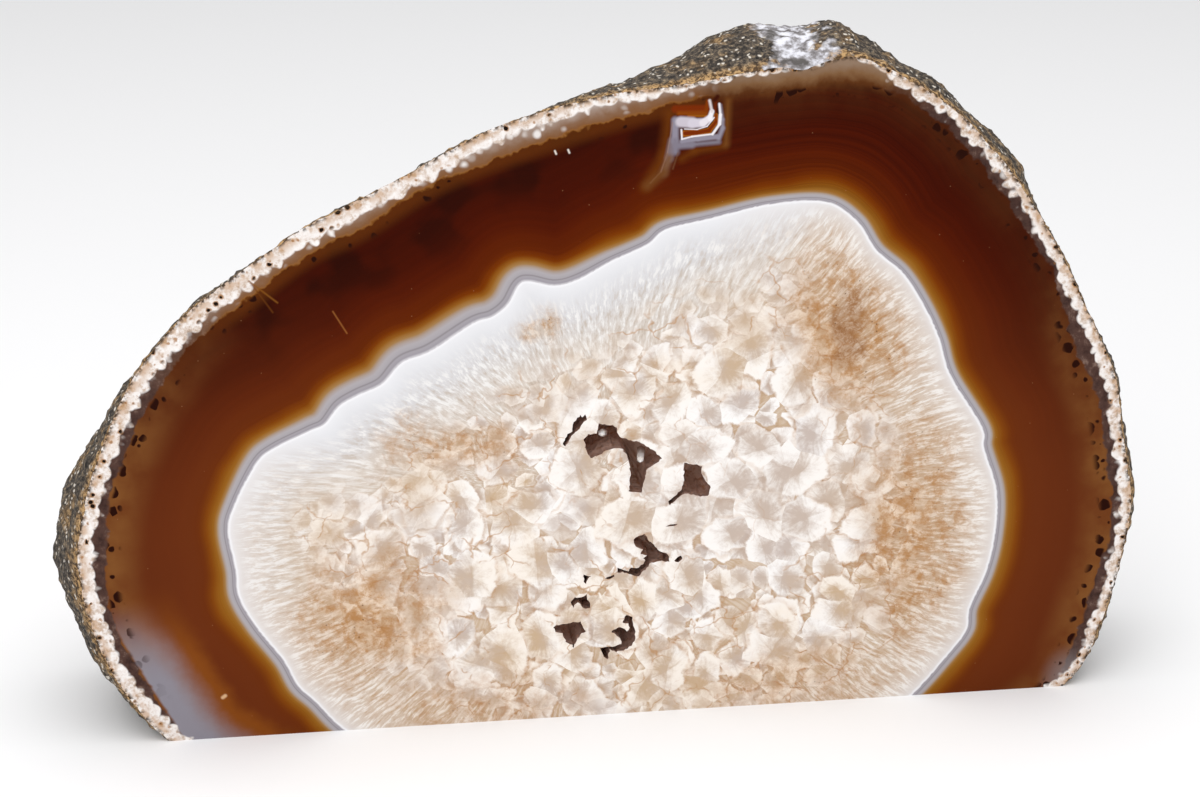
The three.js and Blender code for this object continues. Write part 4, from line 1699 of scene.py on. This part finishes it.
    @staticmethod
    def finishes() -> dict[Zone, Finish]:
        """Choose the finish of each surface.

        Returns:
            The finishes.
        """
        return {
            Zone.QUARTZ: PolishedQuartz("polished quartz", 0.14, 0.1),
            Zone.AGATE: PolishedAgate("polished agate", 0.12, 0.03, SCRATCHES),
            Zone.INCLUSION: PolishedAgate("agate inclusion", 0.12, 0.03, INCLUSION),
            Zone.RIND: RoughRind("rough rind", 0.85, 0.2),
            Zone.SAWN: SawnStone("sawn stone", 0.6, 0.25),
            Zone.POCKET: PocketWall("pocket wall", 0.45, 0.4),
            Zone.CRYSTAL: QuartzPoint("quartz point", 0.12, 0.5),
        }

    def build(self) -> bpy.types.Object:
        """Build and dress the stone.

        Returns:
            The stone.
        """
        bm = bmesh.new()
        self.shell(bm)
        self.saw_base(bm)
        self.shade(bm)
        mesh = bpy.data.meshes.new("agate_stone")
        bm.to_mesh(mesh)
        bm.free()
        self.measure(mesh)
        finishes = self.finishes()
        for zone in Zone:
            mesh.materials.append(finishes[zone].material())
        stone = bpy.data.objects.new("agate_stone", mesh)
        bpy.context.scene.collection.objects.link(stone)
        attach(stone, "root")
        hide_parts("agate_slice")
        return stone


@dataclass
class Studio:
    """A pale floor, soft light and the camera."""

    floor_size: float = 6.0
    sky: float = 0.55
    camera_place: tuple[float, float, float] = (-0.0569, -0.4403, 0.2306)
    camera_tilt: float = 21.903
    camera_turn: float = -7.389
    lens: float = 85.0

    def floor(self) -> bpy.types.Object:
        """Lay the floor.

        Returns:
            The floor.
        """
        bm = bmesh.new()
        bmesh.ops.create_grid(bm, x_segments=4, y_segments=4, size=self.floor_size / 2.0)
        mesh = bpy.data.meshes.new("floor")
        bm.to_mesh(mesh)
        bm.free()
        material = bpy.data.materials.new("pale floor")
        material.use_nodes = True
        shader = material.node_tree.nodes["Principled BSDF"]
        shader.inputs["Base Color"].default_value = linear((246, 246, 247))
        shader.inputs["Roughness"].default_value = 0.9
        shader.inputs["Specular IOR Level"].default_value = 0.1
        mesh.materials.append(material)
        floor = bpy.data.objects.new("floor", mesh)
        bpy.context.scene.collection.objects.link(floor)
        return floor

    def lights(self) -> None:
        """Set an even sky and one large soft lamp above and in front."""
        world = bpy.data.worlds.new("studio")
        world.use_nodes = True
        back = world.node_tree.nodes["Background"]
        back.inputs["Color"].default_value = (1.0, 1.0, 1.0, 1.0)
        back.inputs["Strength"].default_value = self.sky
        bpy.context.scene.world = world
        self._lamp("ceiling", Vector((0.0, -0.2, 0.75)), Vector((0.0, -0.2, 0.05)), 1.0, 5.2)
        self._lamp("key", Vector((-0.35, -0.5, 0.45)), Vector((0.0, 0.0, 0.05)), 0.4, 0.9)

    @staticmethod
    def _lamp(name: str, place: Vector, aim: Vector, size: float, power: float) -> None:
        """Hang one square lamp.

        Args:
            name: Name of the lamp.
            place: Where it hangs.
            aim: Where it points.
            size: Length of its sides.
            power: Its power in watts.
        """
        data = bpy.data.lights.new(name, "AREA")
        data.size = size
        data.energy = power
        lamp = bpy.data.objects.new(name, data)
        lamp.location = place
        lamp.rotation_euler = (aim - place).to_track_quat("-Z", "Y").to_euler()
        bpy.context.scene.collection.objects.link(lamp)

    def camera(self) -> None:
        """Set up the camera."""
        data = bpy.data.cameras.new("camera")
        data.lens = self.lens
        data.clip_start = 0.01
        camera = bpy.data.objects.new("camera", data)
        camera.location = self.camera_place
        turn = (90.0 - self.camera_tilt, 0.0, self.camera_turn)
        camera.rotation_euler = Euler([math.radians(angle) for angle in turn])
        bpy.context.scene.collection.objects.link(camera)
        bpy.context.scene.camera = camera

    def build(self) -> None:
        """Set the whole stage up."""
        self.floor()
        self.lights()
        self.camera()
        bpy.context.scene.view_settings.view_transform = "Standard"


def main() -> None:
    """Build the stone and the stage."""
    logging.basicConfig(level=logging.INFO)
    Studio().build()
    stone = AgateSlice().build()
    LOG.info("%s: %d faces", stone.name, len(stone.data.polygons))


if __name__ == "__main__":
    main()
